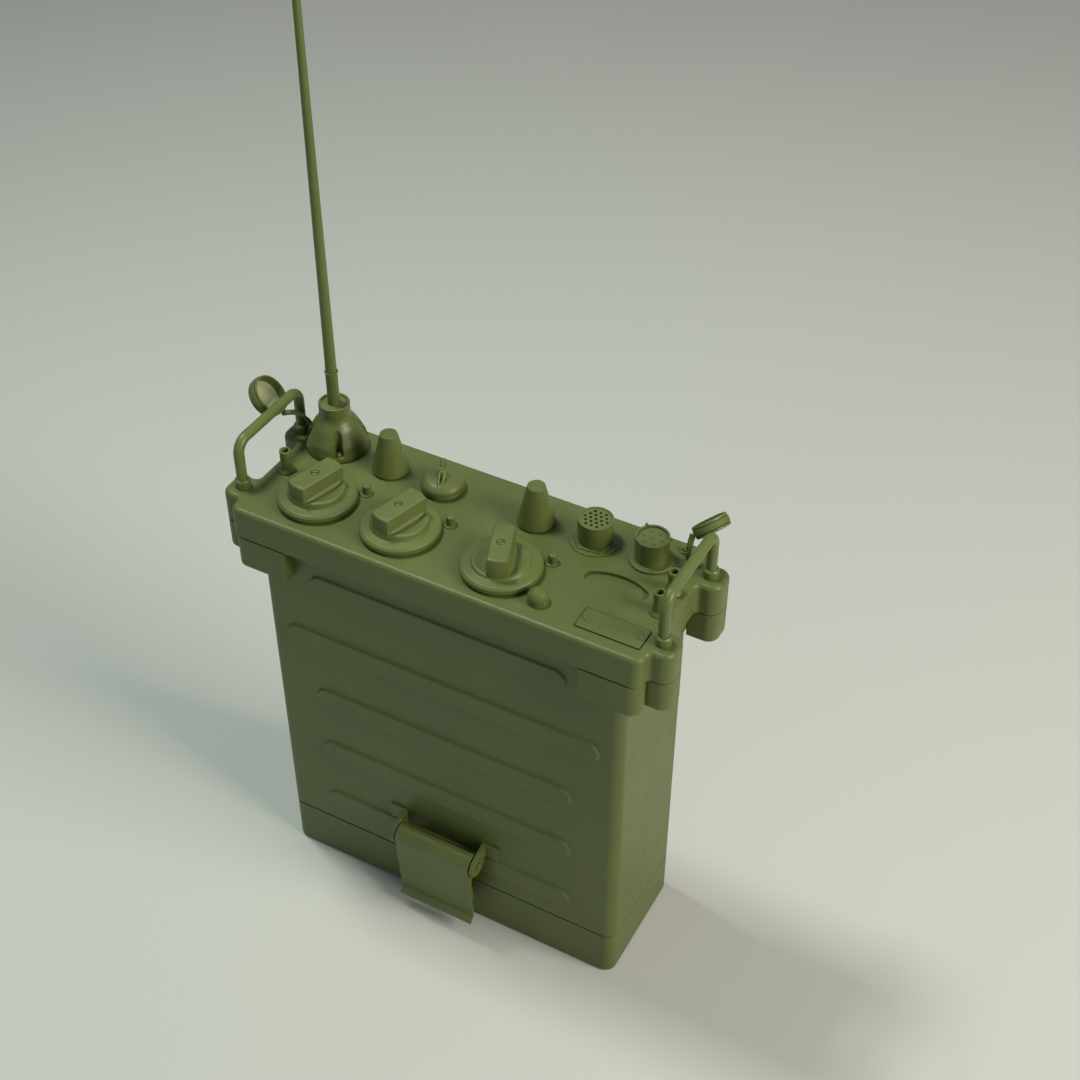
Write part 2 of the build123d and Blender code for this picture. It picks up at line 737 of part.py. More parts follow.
# ---------------------------------------------------------------- antenna
antenna_x, antenna_y = antenna_place
with BuildPart() as antenna_base:
    with BuildSketch(Plane.XZ):
        with BuildLine():
            Polyline((0, 0), (antenna_foot, 0), (antenna_foot, antenna_foot_height))
            Spline(
                (antenna_foot, antenna_foot_height),
                *antenna_slope,
                (antenna_collar, antenna_neck_height),
                tangents=((0, 1), (0, 1)),
            )
            Polyline(
                (antenna_collar, antenna_neck_height),
                (antenna_collar, antenna_height),
                (antenna_insert, antenna_height),
                (antenna_insert, antenna_height - antenna_insert_height),
                (sleeve_radius + running_gap, antenna_height - antenna_insert_height),
                (sleeve_radius + running_gap, antenna_height - antenna_socket_depth),
                (0, antenna_height - antenna_socket_depth),
                (0, 0),
            )
        make_face()
    revolve(axis=Axis.Z)
    with PolarLocations(antenna_screw_circle, 4, start_angle=antenna_screw_bearing):
        with Locations((0, 0, antenna_foot_height)):
            Cylinder(
                antenna_pocket,
                antenna_height,
                align=(Align.CENTER, Align.CENTER, Align.MIN),
                mode=Mode.SUBTRACT,
            )
        Cylinder(strap_screw, 4 * antenna_foot_height, mode=Mode.SUBTRACT)
antenna_base.part.label = "antenna_base"
antenna_base.part.position = (antenna_x, antenna_y, top)
export_step(antenna_base.part, "parts/antenna_base.step")

with BuildPart() as antenna_screws:
    with PolarLocations(antenna_screw_circle, 4, start_angle=antenna_screw_bearing):
        with Locations((0, 0, antenna_foot_height)):
            Cylinder(antenna_screw_head, screw_head_height, align=(Align.CENTER, Align.CENTER, Align.MIN))
        Cylinder(strap_screw, antenna_foot_height, align=(Align.CENTER, Align.CENTER, Align.MIN))
antenna_screws.part.position = (antenna_x, antenna_y, top)

with BuildPart() as antenna_insulator:
    with Locations(Location((antenna_x, antenna_y, top + antenna_height - antenna_insert_height))):
        Cylinder(
            antenna_insert,
            antenna_insert_height - antenna_insert_sink,
            align=(Align.CENTER, Align.CENTER, Align.MIN),
        )
        Cylinder(sleeve_radius + running_gap, 3 * antenna_insert_height, mode=Mode.SUBTRACT)
antenna_insulator.part.label = "antenna_insulator"
export_step(antenna_insulator.part, "parts/antenna_insulator.step")

sleeve_foot = antenna_height - antenna_socket_depth + strap_gap
with BuildPart() as antenna_sleeve:
    with BuildSketch(Plane.XZ):
        with BuildLine():
            Polyline(
                (0, sleeve_foot),
                (sleeve_radius, sleeve_foot),
                (sleeve_radius, sleeve_top - 2 * sleeve_bead),
                (sleeve_radius + sleeve_bead / 2, sleeve_top - sleeve_bead),
                (sleeve_radius + sleeve_bead / 2, sleeve_top),
                (0, sleeve_top),
                (0, sleeve_foot),
            )
        make_face()
    revolve(axis=Axis.Z)
antenna_sleeve.part.label = "antenna_sleeve"
antenna_sleeve.part.position = (antenna_x, antenna_y, top)
export_step(antenna_sleeve.part, "parts/antenna_sleeve.step")

with BuildPart() as antenna_whip:
    with BuildSketch(Plane.XZ):
        with BuildLine():
            Polyline(
                (0, sleeve_top),
                (whip_radius, sleeve_top),
                (whip_tip, whip_top - whip_ball),
                (0, whip_top - whip_ball),
                (0, sleeve_top),
            )
        make_face()
    revolve(axis=Axis.Z)
    with Locations((0, 0, whip_top - whip_ball)):
        Sphere(whip_ball)
antenna_whip.part.label = "antenna_whip"
antenna_whip.part.position = (antenna_x, antenna_y, top)
export_step(antenna_whip.part, "parts/antenna_whip.step")

# ---------------------------------------------------------------- connectors
rings = range(-contact_rings, contact_rings + 1)
contacts = [
    (contact_pitch * (column + row / 2), contact_pitch * row * math.sin(math.radians(60)))
    for row in rings
    for column in rings
    if abs(row + column) <= contact_rings
]
for socket, (socket_x, socket_y) in socket_places.items():
    radius = socket_radii[socket]
    rise = socket_heights[socket]
    insert_top = rise - socket_recesses[socket]
    with BuildPart() as socket_shell:
        Cylinder(radius, rise - ring_height, align=(Align.CENTER, Align.CENTER, Align.MAX))
        Cylinder(radius - socket_neck, rise + socket_depth, align=(Align.CENTER, Align.CENTER, Align.MAX))
        Cylinder(
            radius - socket_wall,
            insert_thickness + socket_recesses[socket],
            align=(Align.CENTER, Align.CENTER, Align.MAX),
            mode=Mode.SUBTRACT,
        )
        if socket == "power":
            with PolarLocations(radius, 3, start_angle=lug_bearing):
                Cylinder(lug_radius, lug_length, rotation=(0, 90, 0))
    name = f"{socket}_socket_shell"
    socket_shell.part.label = name
    socket_shell.part.position = (socket_x, socket_y, top + rise)
    export_step(socket_shell.part, f"parts/{name}.step")

    with BuildPart() as socket_insert:
        Cylinder(radius - socket_wall, insert_thickness, align=(Align.CENTER, Align.CENTER, Align.MAX))
        if socket == "audio":
            with Locations(*at(contacts)):
                Cylinder(contact_holes, 2 * contact_hole_depth, mode=Mode.SUBTRACT)
        else:
            with PolarLocations(pin_circle, 6):
                Cylinder(pin_radius, pin_rise, align=(Align.CENTER, Align.CENTER, Align.MIN))
            Cylinder(pin_radius, pin_rise, align=(Align.CENTER, Align.CENTER, Align.MIN))
    name = f"{socket}_socket_insert"
    socket_insert.part.label = name
    socket_insert.part.position = (socket_x, socket_y, top + insert_top)
    export_step(socket_insert.part, f"parts/{name}.step")

with BuildPart() as socket_rings:
    with BuildSketch(Plane.XY.offset(top)):
        for socket, place in socket_places.items():
            with Locations(place):
                Circle(socket_rings_out[socket])
                Circle(socket_radii[socket] - socket_neck, mode=Mode.SUBTRACT)
    extrude(amount=ring_height)
    upper_edges = socket_rings.edges().group_by(Axis.Z)[-1]
    outer_edges = upper_edges.filter_by(lambda e: e.radius > max(socket_radii.values()))
chamfer(outer_edges, ring_chamfer)
socket_rings.part.label = "socket_rings"
export_step(socket_rings.part, "parts/socket_rings.step")

# ---------------------------------------------------------------- light button
light_x, light_y = light_place
button_foot = -bezel_depth + cap_wall + 3 * light_travel + spring_wire
with BuildPart() as light_bezel:
    with Locations((0, 0, -bezel_depth)):
        Cylinder(light_slide + cap_wall / 2, bezel_depth, align=(Align.CENTER, Align.CENTER, Align.MIN))
    Cylinder(bezel_radius, bezel_lip, align=(Align.CENTER, Align.CENTER, Align.MIN))
    with Locations((0, 0, cap_wall - bezel_depth)):
        Cylinder(
            light_radius + running_gap,
            2 * bezel_depth,
            align=(Align.CENTER, Align.CENTER, Align.MIN),
            mode=Mode.SUBTRACT,
        )
light_bezel.part.label = "light_bezel"
light_bezel.part.position = (light_x, light_y, top)
export_step(light_bezel.part, "parts/light_bezel.step")

with BuildPart() as light_button:
    with Locations((0, 0, button_foot)):
        Cylinder(
            light_radius,
            light_rise - light_radius - button_foot,
            align=(Align.CENTER, Align.CENTER, Align.MIN),
        )
    with Locations((0, 0, light_rise - light_radius)):
        Sphere(light_radius)
light_button.part.label = "light_button"
light_button.part.position = (light_x, light_y, top)
export_step(light_button.part, "parts/light_button.step")

spring_floor = cap_wall - bezel_depth
with BuildPart() as button_spring:
    with BuildSketch(Plane.XZ):
        with Locations((spring_radius, (spring_floor + button_foot) / 2)):
            Rectangle(2 * spring_wire, button_foot - spring_floor)
    revolve(axis=Axis.Z)
button_spring.part.label = "button_spring"
button_spring.part.position = (light_x, light_y, top)
export_step(button_spring.part, "parts/button_spring.step")

# ---------------------------------------------------------------- nameplate, posts and screws
plate_x, plate_y = nameplate_place
rivet_places = [(plate_x - rivet_reach, plate_y), (plate_x + rivet_reach, plate_y)]
with BuildPart() as nameplate:
    with BuildSketch(Plane.XY.offset(top)):
        with Locations(nameplate_place):
            RectangleRounded(nameplate_width, nameplate_depth, nameplate_corner)
        with Locations(*at(rivet_places)):
            Circle(rivet_radius / 2, mode=Mode.SUBTRACT)
    extrude(amount=nameplate_thickness)
nameplate.part.label = "nameplate"
export_step(nameplate.part, "parts/nameplate.step")

with BuildPart() as nameplate_rivets:
    with Locations(*at(rivet_places, top)):
        Cylinder(rivet_radius / 2, nameplate_thickness, align=(Align.CENTER, Align.CENTER, Align.MIN))
    with Locations(*at(rivet_places, top + nameplate_thickness)):
        Cylinder(rivet_radius, rivet_radius / 2, align=(Align.CENTER, Align.CENTER, Align.MIN))
    fillet(nameplate_rivets.edges().group_by(Axis.Z)[-1], rivet_radius / 3)

with BuildPart() as terminal_posts:
    with Locations(*at(post_places, top)):
        Cone(post_foot, post_radius, post_foot_height, align=(Align.CENTER, Align.CENTER, Align.MIN))
        Cylinder(post_radius, post_height, align=(Align.CENTER, Align.CENTER, Align.MIN))
    with Locations(*at(post_places, top + post_height)):
        Cylinder(post_bore, 2 * post_bore_depth, mode=Mode.SUBTRACT)
terminal_posts.part.label = "terminal_posts"
export_step(terminal_posts.part, "parts/terminal_posts.step")

screw_seat = strap_thickness + 2 * strap_gap
with BuildPart() as strap_screws:
    with Locations(*at(pivot_places.values(), top)):
        Cylinder(strap_screw, screw_seat, align=(Align.CENTER, Align.CENTER, Align.MIN))
    with Locations(*at(pivot_places.values(), top + screw_seat)):
        Cylinder(strap_screw_head, screw_head_height, align=(Align.CENTER, Align.CENTER, Align.MIN))
    with Locations(*at([panel_screw_place], top)):
        Cylinder(strap_eye, panel_washer, align=(Align.CENTER, Align.CENTER, Align.MIN))
        Cylinder(
            panel_screw_head,
            panel_washer + screw_head_height,
            align=(Align.CENTER, Align.CENTER, Align.MIN),
        )
fastener_solids = [
    *antenna_screws.part.solids(),
    *strap_screws.part.solids(),
    *nameplate_rivets.part.solids(),
]
panel_screws = Compound(label="panel_screws", children=fastener_solids)
export_step(panel_screws, "parts/panel_screws.step")

# ---------------------------------------------------------------- dust caps on their straps
for side, mouth in cap_mouths.items():
    radius = cap_radii[side]
    facing = Vector(*cap_facings[side]).normalized()
    middle = Vector(*mouth) + Vector(handle_planes[side], 0, top)
    with BuildPart(Plane(origin=middle, z_dir=facing)) as dust_cap:
        Cylinder(radius - cap_groove, cap_depth, align=(Align.CENTER, Align.CENTER, Align.MAX))
        Cylinder(radius, cap_bead, align=(Align.CENTER, Align.CENTER, Align.MAX))
        with Locations((0, 0, cap_bead - cap_depth)):
            Cylinder(radius, cap_bead, align=(Align.CENTER, Align.CENTER, Align.MAX))
        Cylinder(
            radius - cap_wall,
            cap_depth - cap_floor,
            align=(Align.CENTER, Align.CENTER, Align.MAX),
            mode=Mode.SUBTRACT,
        )
    name = f"dust_cap_{side}"
    dust_cap.part.label = name
    export_step(dust_cap.part, f"parts/{name}.step")

strap_low = top + strap_gap + strap_thickness / 2
for side, (pivot_x, pivot_y) in pivot_places.items():
    radius = cap_radii[side]
    facing = Vector(*cap_facings[side]).normalized()
    corner = Vector(handle_planes[side], 0, top)
    route = [Vector(*point) + corner for point in strap_routes[side]]
    waist = Vector(*cap_mouths[side]) + corner - facing * (cap_depth / 2)
    radial = route[-1] - waist
    radial = (radial - facing * radial.dot(facing)).normalized()
    lug_root = waist + radial * (radius + cap_band_proud / 2)
    ribbon_end = lug_root + radial * strap_lug
    with BuildPart() as strap:
        with BuildLine() as strap_line:
            Spline(*route, ribbon_end)
        start = strap_line.line @ 0
        heading = strap_line.line % 0
        with BuildSketch(Plane(origin=start, x_dir=Vector(0, 0, 1).cross(heading), z_dir=heading)):
            Rectangle(strap_width, strap_thickness)
        sweep()
        with Locations((pivot_x, pivot_y, strap_low)):
            Cylinder(strap_eye, strap_thickness)
            Cylinder(strap_screw + 2 * running_gap, 3 * strap_thickness, mode=Mode.SUBTRACT)
        with Locations(Plane(origin=lug_root, z_dir=radial)):
            Cylinder(
                strap_width / 2,
                strap_lug + strap_thickness / 2,
                align=(Align.CENTER, Align.CENTER, Align.MIN),
            )
        with Locations(Plane(origin=waist, z_dir=facing)):
            Cylinder(radius + cap_band_proud, cap_band_width)
            Cylinder(radius - cap_groove + 4 * running_gap, 2 * cap_depth, mode=Mode.SUBTRACT)
    name = f"cap_strap_{side}"
    strap.part.label = name
    export_step(strap.part, f"parts/{name}.step")

# ---------------------------------------------------------------- battery latches, front and rear


def outward(side, points):
    """Profile points given as (distance out from the case wall, height), on the front (-1) or rear (1)."""
    return [(side * (front + out), height) for out, height in points]


pivot_out, pivot_height = latch_pivot_out, latch_pivot_height
roll_points = [
    (
        pivot_out + latch_roll * math.cos(math.radians(angle)),
        pivot_height + latch_roll * math.sin(math.radians(angle)),
    )
    for angle in roll_angles
]
plate_slope = (roll_points[-1][0] - lever_end_out) / (roll_points[-1][1] - lever_end_height)
cheek_front = lever_end_out + plate_slope * (pivot_height - cheek_drop - lever_end_height)
bail_out = pivot_out + bail_offset[0]
bail_height = pivot_height + bail_offset[1]
for side, name in ((-1, "front"), (1, "rear")):
    with BuildPart() as lever:
        with BuildSketch(Plane.YZ.offset(-latch_half_width)):
            with BuildLine() as lever_line:
                ThreePointArc(*outward(side, roll_points))
                Polyline(
                    *outward(
                        side,
                        (
                            roll_points[-1],
                            (lever_end_out, lever_end_height),
                            (lever_end_out + lever_lip, lever_end_height - lever_lip),
                        ),
                    )
                )
            trace(lever_line.wires(), line_width=latch_plate)
        extrude(amount=2 * latch_half_width)
        for start in (-latch_half_width, latch_half_width - cheek):
            with BuildSketch(Plane.YZ.offset(start)):
                with Locations(*outward(side, ((pivot_out, pivot_height),))):
                    Circle(cheek_radius)
                with BuildLine():
                    Polyline(
                        *outward(
                            side,
                            (
                                roll_points[-1],
                                (pivot_out, pivot_height),
                                (pivot_out, pivot_height - cheek_drop / 2),
                                (cheek_front, pivot_height - cheek_drop),
                                roll_points[-1],
                            ),
                        )
                    )
                make_face()
            extrude(amount=cheek)
        with Locations(*[(0, y, z) for y, z in outward(side, ((pivot_out, pivot_height),))]):
            Cylinder(pivot_pin + running_gap, 3 * latch_half_width, rotation=(0, 90, 0), mode=Mode.SUBTRACT)
        with Locations(*[(0, y, z) for y, z in outward(side, ((bail_out, bail_height),))]):
            Cylinder(bail_wire + running_gap, 3 * latch_half_width, rotation=(0, 90, 0), mode=Mode.SUBTRACT)
    name_lever = f"latch_lever_{name}"
    lever.part.label = name_lever
    export_step(lever.part, f"parts/{name_lever}.step")

    with BuildPart() as bail:
        y_eye, z_eye = outward(side, ((bail_out, bail_height),))[0]
        y_bar, z_bar = outward(side, ((bail_bar_out, bail_bar_height),))[0]
        with BuildLine() as bail_line:
            FilletPolyline(
                (-latch_half_width, y_eye, z_eye),
                (-bail_half_width, y_eye, z_eye),
                (-bail_half_width, y_bar, z_bar),
                (bail_half_width, y_bar, z_bar),
                (bail_half_width, y_eye, z_eye),
                (latch_half_width, y_eye, z_eye),
                radius=2 * bail_wire,
            )
        with BuildSketch(Plane(origin=bail_line.line @ 0, z_dir=bail_line.line % 0)):
            Circle(bail_wire)
        sweep()
    name_bail = f"latch_bail_{name}"
    bail.part.label = name_bail
    export_step(bail.part, f"parts/{name_bail}.step")

with BuildPart() as latch_ears:
    for side in (-1, 1):
        for hand in (-1, 1):
            inner = ear_inner if hand > 0 else -ear_inner - ear_thickness
            with BuildSketch(Plane.YZ.offset(inner)):
                with Locations(*outward(side, ((pivot_out, pivot_height),))):
                    Circle(ear_radius)
                with BuildLine():
                    Polyline(
                        *outward(
                            side,
                            (
                                (0, ear_foot_low),
                                (0, ear_foot_high),
                                (pivot_out, pivot_height + ear_radius),
                                (pivot_out, pivot_height - ear_radius),
                                (rib_relief + strap_gap, ear_foot_low),
                                (0, ear_foot_low),
                            ),
                        )
                    )
                make_face()
            extrude(amount=ear_thickness)
            foot_x = hand * (ear_inner + ear_foot / 2)
            with Locations((foot_x, side * (front + keeper_plate / 2), (ear_foot_low + ear_foot_high) / 2)):
                Box(ear_foot, keeper_plate, ear_foot_high - ear_foot_low)
        with Locations(*[(0, y, z) for y, z in outward(side, ((pivot_out, pivot_height),))]):
            Cylinder(pivot_pin, 3 * latch_half_width, rotation=(0, 90, 0), mode=Mode.SUBTRACT)
latch_ears.part.label = "latch_ears"
export_step(latch_ears.part, "parts/latch_ears.step")

pin_length = ear_inner + ear_thickness - latch_half_width + cheek + pin_tail
with BuildPart() as latch_pins:
    for side in (-1, 1):
        for hand in (-1, 1):
            pin_y, pin_z = outward(side, ((pivot_out, pivot_height),))[0]
            pin_end = hand * (ear_inner + ear_thickness)
            with Locations((pin_end - hand * pin_length / 2, pin_y, pin_z)):
                Cylinder(pivot_pin, pin_length, rotation=(0, 90, 0))
            with Locations((pin_end + hand * pin_head_height / 2, pin_y, pin_z)):
                Cylinder(pin_head, pin_head_height, rotation=(0, 90, 0))
latch_pins.part.label = "latch_pins"
export_step(latch_pins.part, "parts/latch_pins.step")

hook_under = bail_bar_height + bail_wire + 4 * running_gap
with BuildPart() as latch_keepers:
    for side in (-1, 1):
        with BuildSketch(Plane.YZ.offset(-keeper_half_width)):
            with BuildLine():
                Polyline(
                    *outward(
                        side,
                        (
                            (0, keeper_foot),
                            (0, hook_under + keeper_hook),
                            (keeper_reach, hook_under + keeper_hook),
                            (keeper_reach, hook_under - keeper_lip),
                            (keeper_reach - keeper_plate, hook_under - keeper_lip),
                            (keeper_reach - keeper_plate, hook_under),
                            (keeper_plate, hook_under),
                            (keeper_plate, keeper_foot),
                            (0, keeper_foot),
                        ),
                    )
                )
            make_face()
        extrude(amount=2 * keeper_half_width)
latch_keepers.part.label = "latch_keepers"
export_step(latch_keepers.part, "parts/latch_keepers.step")

# ---------------------------------------------------------------- chassis, board and modules
with BuildPart() as chassis_frame:
    with BuildSketch(Plane.XZ.offset(-chassis_width / 2)):
        with Locations((0, (deck + chassis_floor) / 2)):
            Rectangle(chassis_length, deck - chassis_floor)
            Rectangle(
                chassis_length - 2 * chassis_plate,
                deck - chassis_floor - 2 * chassis_plate,
                mode=Mode.SUBTRACT,
            )
    extrude(amount=chassis_width)
    with BuildSketch(Plane.XY.offset(deck)):
        with Locations(*at(post_grid)):
            Circle(standoff)
    extrude(amount=plate_under - deck)
    with Locations(*at([capacitor_place], deck)):
        Cylinder(shaft_radius + running_gap, 3 * chassis_plate, mode=Mode.SUBTRACT)
chassis_frame.part.label = "chassis_frame"
export_step(chassis_frame.part, "parts/chassis_frame.step")

board_length = chassis_length - 2 * chassis_plate
board_height = deck - chassis_floor - 2 * chassis_plate
with BuildPart() as main_board:
    with Locations((0, board_y + board_thickness / 2, chassis_floor + chassis_plate + board_height / 2)):
        Box(board_length, board_thickness, board_height)
main_board.part.label = "main_board"
export_step(main_board.part, "parts/main_board.step")

can_pitch = can_width + can_gap
can_floor = chassis_floor + chassis_plate
with BuildPart() as module_cans:
    for column, can_height in enumerate(can_heights):
        with BuildSketch(Plane.XY.offset(can_floor)):
            with Locations(((column - 2) * can_pitch, board_y - can_depth / 2)):
                RectangleRounded(can_width, can_depth, can_corner)
        extrude(amount=can_height)
    for column, can_height in enumerate(front_can_heights):
        with BuildSketch(Plane.XY.offset(can_floor)):
            with Locations((column * can_pitch, board_y - 3 * can_depth / 2 - can_gap)):
                RectangleRounded(can_width, can_depth, can_corner)
        extrude(amount=can_height)
module_cans.part.label = "module_cans"
export_step(module_cans.part, "parts/module_cans.step")
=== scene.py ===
"""Looks of the manpack radio set: finishes, soft-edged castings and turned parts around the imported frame.

Shapes are worked out in millimetres in the frame's own axes and written to the meshes in metres.
"""

import json
import math

import bmesh
import bpy
import numpy as np
from mathutils import Matrix, Vector


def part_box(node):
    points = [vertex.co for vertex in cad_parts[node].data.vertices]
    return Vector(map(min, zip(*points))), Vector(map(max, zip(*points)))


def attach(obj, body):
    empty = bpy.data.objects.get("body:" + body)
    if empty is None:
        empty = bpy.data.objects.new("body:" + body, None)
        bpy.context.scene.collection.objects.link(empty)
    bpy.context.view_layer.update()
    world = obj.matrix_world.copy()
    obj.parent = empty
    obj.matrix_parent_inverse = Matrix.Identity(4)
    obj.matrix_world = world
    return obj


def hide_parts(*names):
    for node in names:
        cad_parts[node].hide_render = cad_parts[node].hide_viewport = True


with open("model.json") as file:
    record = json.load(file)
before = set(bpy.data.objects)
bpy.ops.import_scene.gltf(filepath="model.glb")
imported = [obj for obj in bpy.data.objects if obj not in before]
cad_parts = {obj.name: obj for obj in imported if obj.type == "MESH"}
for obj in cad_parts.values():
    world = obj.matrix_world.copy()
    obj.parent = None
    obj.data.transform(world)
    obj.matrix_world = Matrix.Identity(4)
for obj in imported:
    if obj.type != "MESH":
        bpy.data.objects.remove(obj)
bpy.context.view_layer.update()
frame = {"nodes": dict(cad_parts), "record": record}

MM = 0.001
WELD = 2e-6
BODY_OF = {node: body for body, nodes in frame["record"]["behaviour"]["bodies"].items() for node in nodes}


def span(node):
    """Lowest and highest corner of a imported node, in millimetres."""
    low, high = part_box(node)
    return np.array(low) / MM, np.array(high) / MM


def middle(node):
    """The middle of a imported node's box, in millimetres."""
    return sum(span(node)) / 2


def seat(node):
    """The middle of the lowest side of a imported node's box."""
    return np.array((*middle(node)[:2], span(node)[0][2]))


def extent(node):
    """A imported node's three sizes."""
    low, high = span(node)
    return high - low


PANEL_TOP = span("nameplate")[0][2]


# ---------------------------------------------------------------- surfaces
def rounded(corners, radius, steps=5):
    """A polyline with its corners turned into arcs.

    Each arc starts and ends where a circle of the radius touches both runs, or nearer if a run is short.
    """
    points = np.array(corners, float)
    line = [points[:1]]
    radii = np.broadcast_to(radius, len(points))
    for before, corner, after, wanted in zip(points[:-2], points[1:-1], points[2:], radii[1:-1]):
        back, ahead = before - corner, after - corner
        back_length, ahead_length = np.linalg.norm(back), np.linalg.norm(ahead)
        back, ahead = back / back_length, ahead / ahead_length
        half = 0.5 * math.acos(float(np.clip(back @ ahead, -1, 1)))
        if wanted <= 0 or half > 0.49 * math.pi:
            line.append(corner[None])
            continue
        reach = min(wanted / math.tan(half), 0.48 * back_length, 0.48 * ahead_length)
        bisector = (back + ahead) / np.linalg.norm(back + ahead)
        centre = corner + bisector * reach / math.cos(half)
        start, end = corner + back * reach - centre, corner + ahead * reach - centre
        turn = math.acos(float(np.clip(start @ end / (start @ start), -1, 1)))
        share = np.linspace(0, 1, steps)[:, None]
        bend = (np.sin((1 - share) * turn) * start + np.sin(share * turn) * end) / math.sin(turn)
        line.append(centre + bend)
    line.append(points[-1:])
    return np.concatenate(line)


def axes(facing):
    """Two unit vectors across a facing direction, and the direction itself."""
    ahead = np.array(facing, float) / np.linalg.norm(facing)
    helper = np.array((1.0, 0, 0)) if abs(ahead[0]) < 0.9 else np.array((0, 1.0, 0))
    up = np.cross(ahead, helper)
    up /= np.linalg.norm(up)
    return np.cross(up, ahead), up, ahead


def lathe(profile, place, facing=(0, 0, 1), turns=72):
    """Rings of a turned shape: place + height along the facing axis + radius round it."""
    across, up, ahead = axes(facing)
    angle = np.linspace(0, 2 * np.pi, turns, endpoint=False)[None, :, None]
    radius, height = np.array(profile, float).T[:, :, None, None]
    return np.array(place, float) + height * ahead + radius * (np.cos(angle) * across + np.sin(angle) * up)


def prism(outline, levels, weight=1.0):
    """Rings of a flat outline moved inwards and upwards.

    Each level is (inset, height), and the inset is scaled by weight, point by point.
    """
    outline = np.array(outline, float)
    along = np.roll(outline, -1, 0) - np.roll(outline, 1, 0)
    along /= np.linalg.norm(along, axis=1)[:, None]
    inwards = np.stack((-along[:, 1], along[:, 0]), 1)
    inset, height = np.array(levels, float).T[:, :, None]
    flat = outline[None] + (inset * weight)[..., None] * inwards[None]
    return np.concatenate((flat, np.broadcast_to(height, flat.shape[:2])[..., None]), -1)


def tube(path, radius, turns=20):
    """Rings round a path, each square to it, with a radius at each point."""
    path = np.array(path, float)
    along = np.gradient(path, axis=0)
    along /= np.linalg.norm(along, axis=1)[:, None]
    side = np.cross(along, np.array((0.31, 0.52, 0.79)))
    side /= np.linalg.norm(side, axis=1)[:, None]
    up = np.cross(along, side)
    angle = np.linspace(0, 2 * np.pi, turns, endpoint=False)[None, :, None]
    reach = np.broadcast_to(radius, len(path))[:, None, None]
    return path[:, None] + reach * (np.cos(angle) * side[:, None] + np.sin(angle) * up[:, None])


def turned(points, place, degrees=0.0):
    """Points turned about +Z by an angle and moved to a place."""
    angle = math.radians(degrees)
    along, across = math.cos(angle), math.sin(angle)
    spin = np.array(((along, across, 0), (-across, along, 0), (0, 0, 1)))
    return points @ spin + np.array(place, float)


def skinned(grids, closed=False):
    """One mesh over several grids of rings, each ring a loop: quads between rings, a fan on each open end."""
    points, faces, start = [], [], 0
    for rings in grids:
        rows, columns = rings.shape[:2]
        index = start + np.arange(rows * columns).reshape(rows, columns)
        quads = np.stack((index[:-1], np.roll(index[:-1], -1, 1), np.roll(index[1:], -1, 1), index[1:]), -1)
        quads = quads.reshape(-1, 4)
        if closed:
            last = np.stack((index[-1], np.roll(index[-1], -1), np.roll(index[0], -1), index[0]), -1)
            quads = np.concatenate((quads, last))
            fans = np.empty((0, 3), int)
            flat = rings.reshape(-1, 3)
        else:
            pole = start + rows * columns
            bottom = np.stack((np.roll(index[0], -1), index[0], np.full(columns, pole)), -1)
            crown = np.stack((index[-1], np.roll(index[-1], -1), np.full(columns, pole + 1)), -1)
            fans = np.concatenate((bottom, crown))
            flat = np.concatenate((rings.reshape(-1, 3), rings[:1].mean(1), rings[-1:].mean(1)))
        local = flat - flat.mean(0)
        corners = local[quads - start]
        volume = np.einsum("ij,ij->i", corners[:, 0], np.cross(corners[:, 1], corners[:, 2])).sum()
        volume += np.einsum("ij,ij->i", corners[:, 0], np.cross(corners[:, 2], corners[:, 3])).sum()
        if volume < 0:
            quads, fans = quads[:, ::-1], fans[:, ::-1]
        points.append(flat)
        faces += quads.tolist() + fans.tolist()
        start += len(flat)
    mesh = bpy.data.meshes.new("surface")
    mesh.from_pydata((np.concatenate(points) * MM).tolist(), [], faces)
    mesh.validate()
    return mesh


def placed(name, mesh, material, body, nodes=(), bevel=0.0, crease=38.0):
    """A finished piece: smooth between its creases, soft-edged if asked, riding on its body."""
    piece = bpy.data.objects.new(name, mesh)
    bpy.context.scene.collection.objects.link(piece)
    mesh.materials.clear()
    mesh.materials.append(material)
    if bevel:
        soft = piece.modifiers.new("soft_edges", "BEVEL")
        soft.width = bevel * MM
        soft.segments = 3
        soft.limit_method = "ANGLE"
        soft.angle_limit = math.radians(crease)
        soft.use_clamp_overlap = True
        soft.miter_outer = "MITER_ARC"
        mesh.shade_smooth()
        weigh = piece.modifiers.new("weighted_normals", "WEIGHTED_NORMAL")
        weigh.keep_sharp = False
    else:
        mesh.shade_smooth()
        mesh.set_sharp_from_angle(angle=math.radians(crease))
    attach(piece, body)
    if nodes:
        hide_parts(*nodes)
    return piece


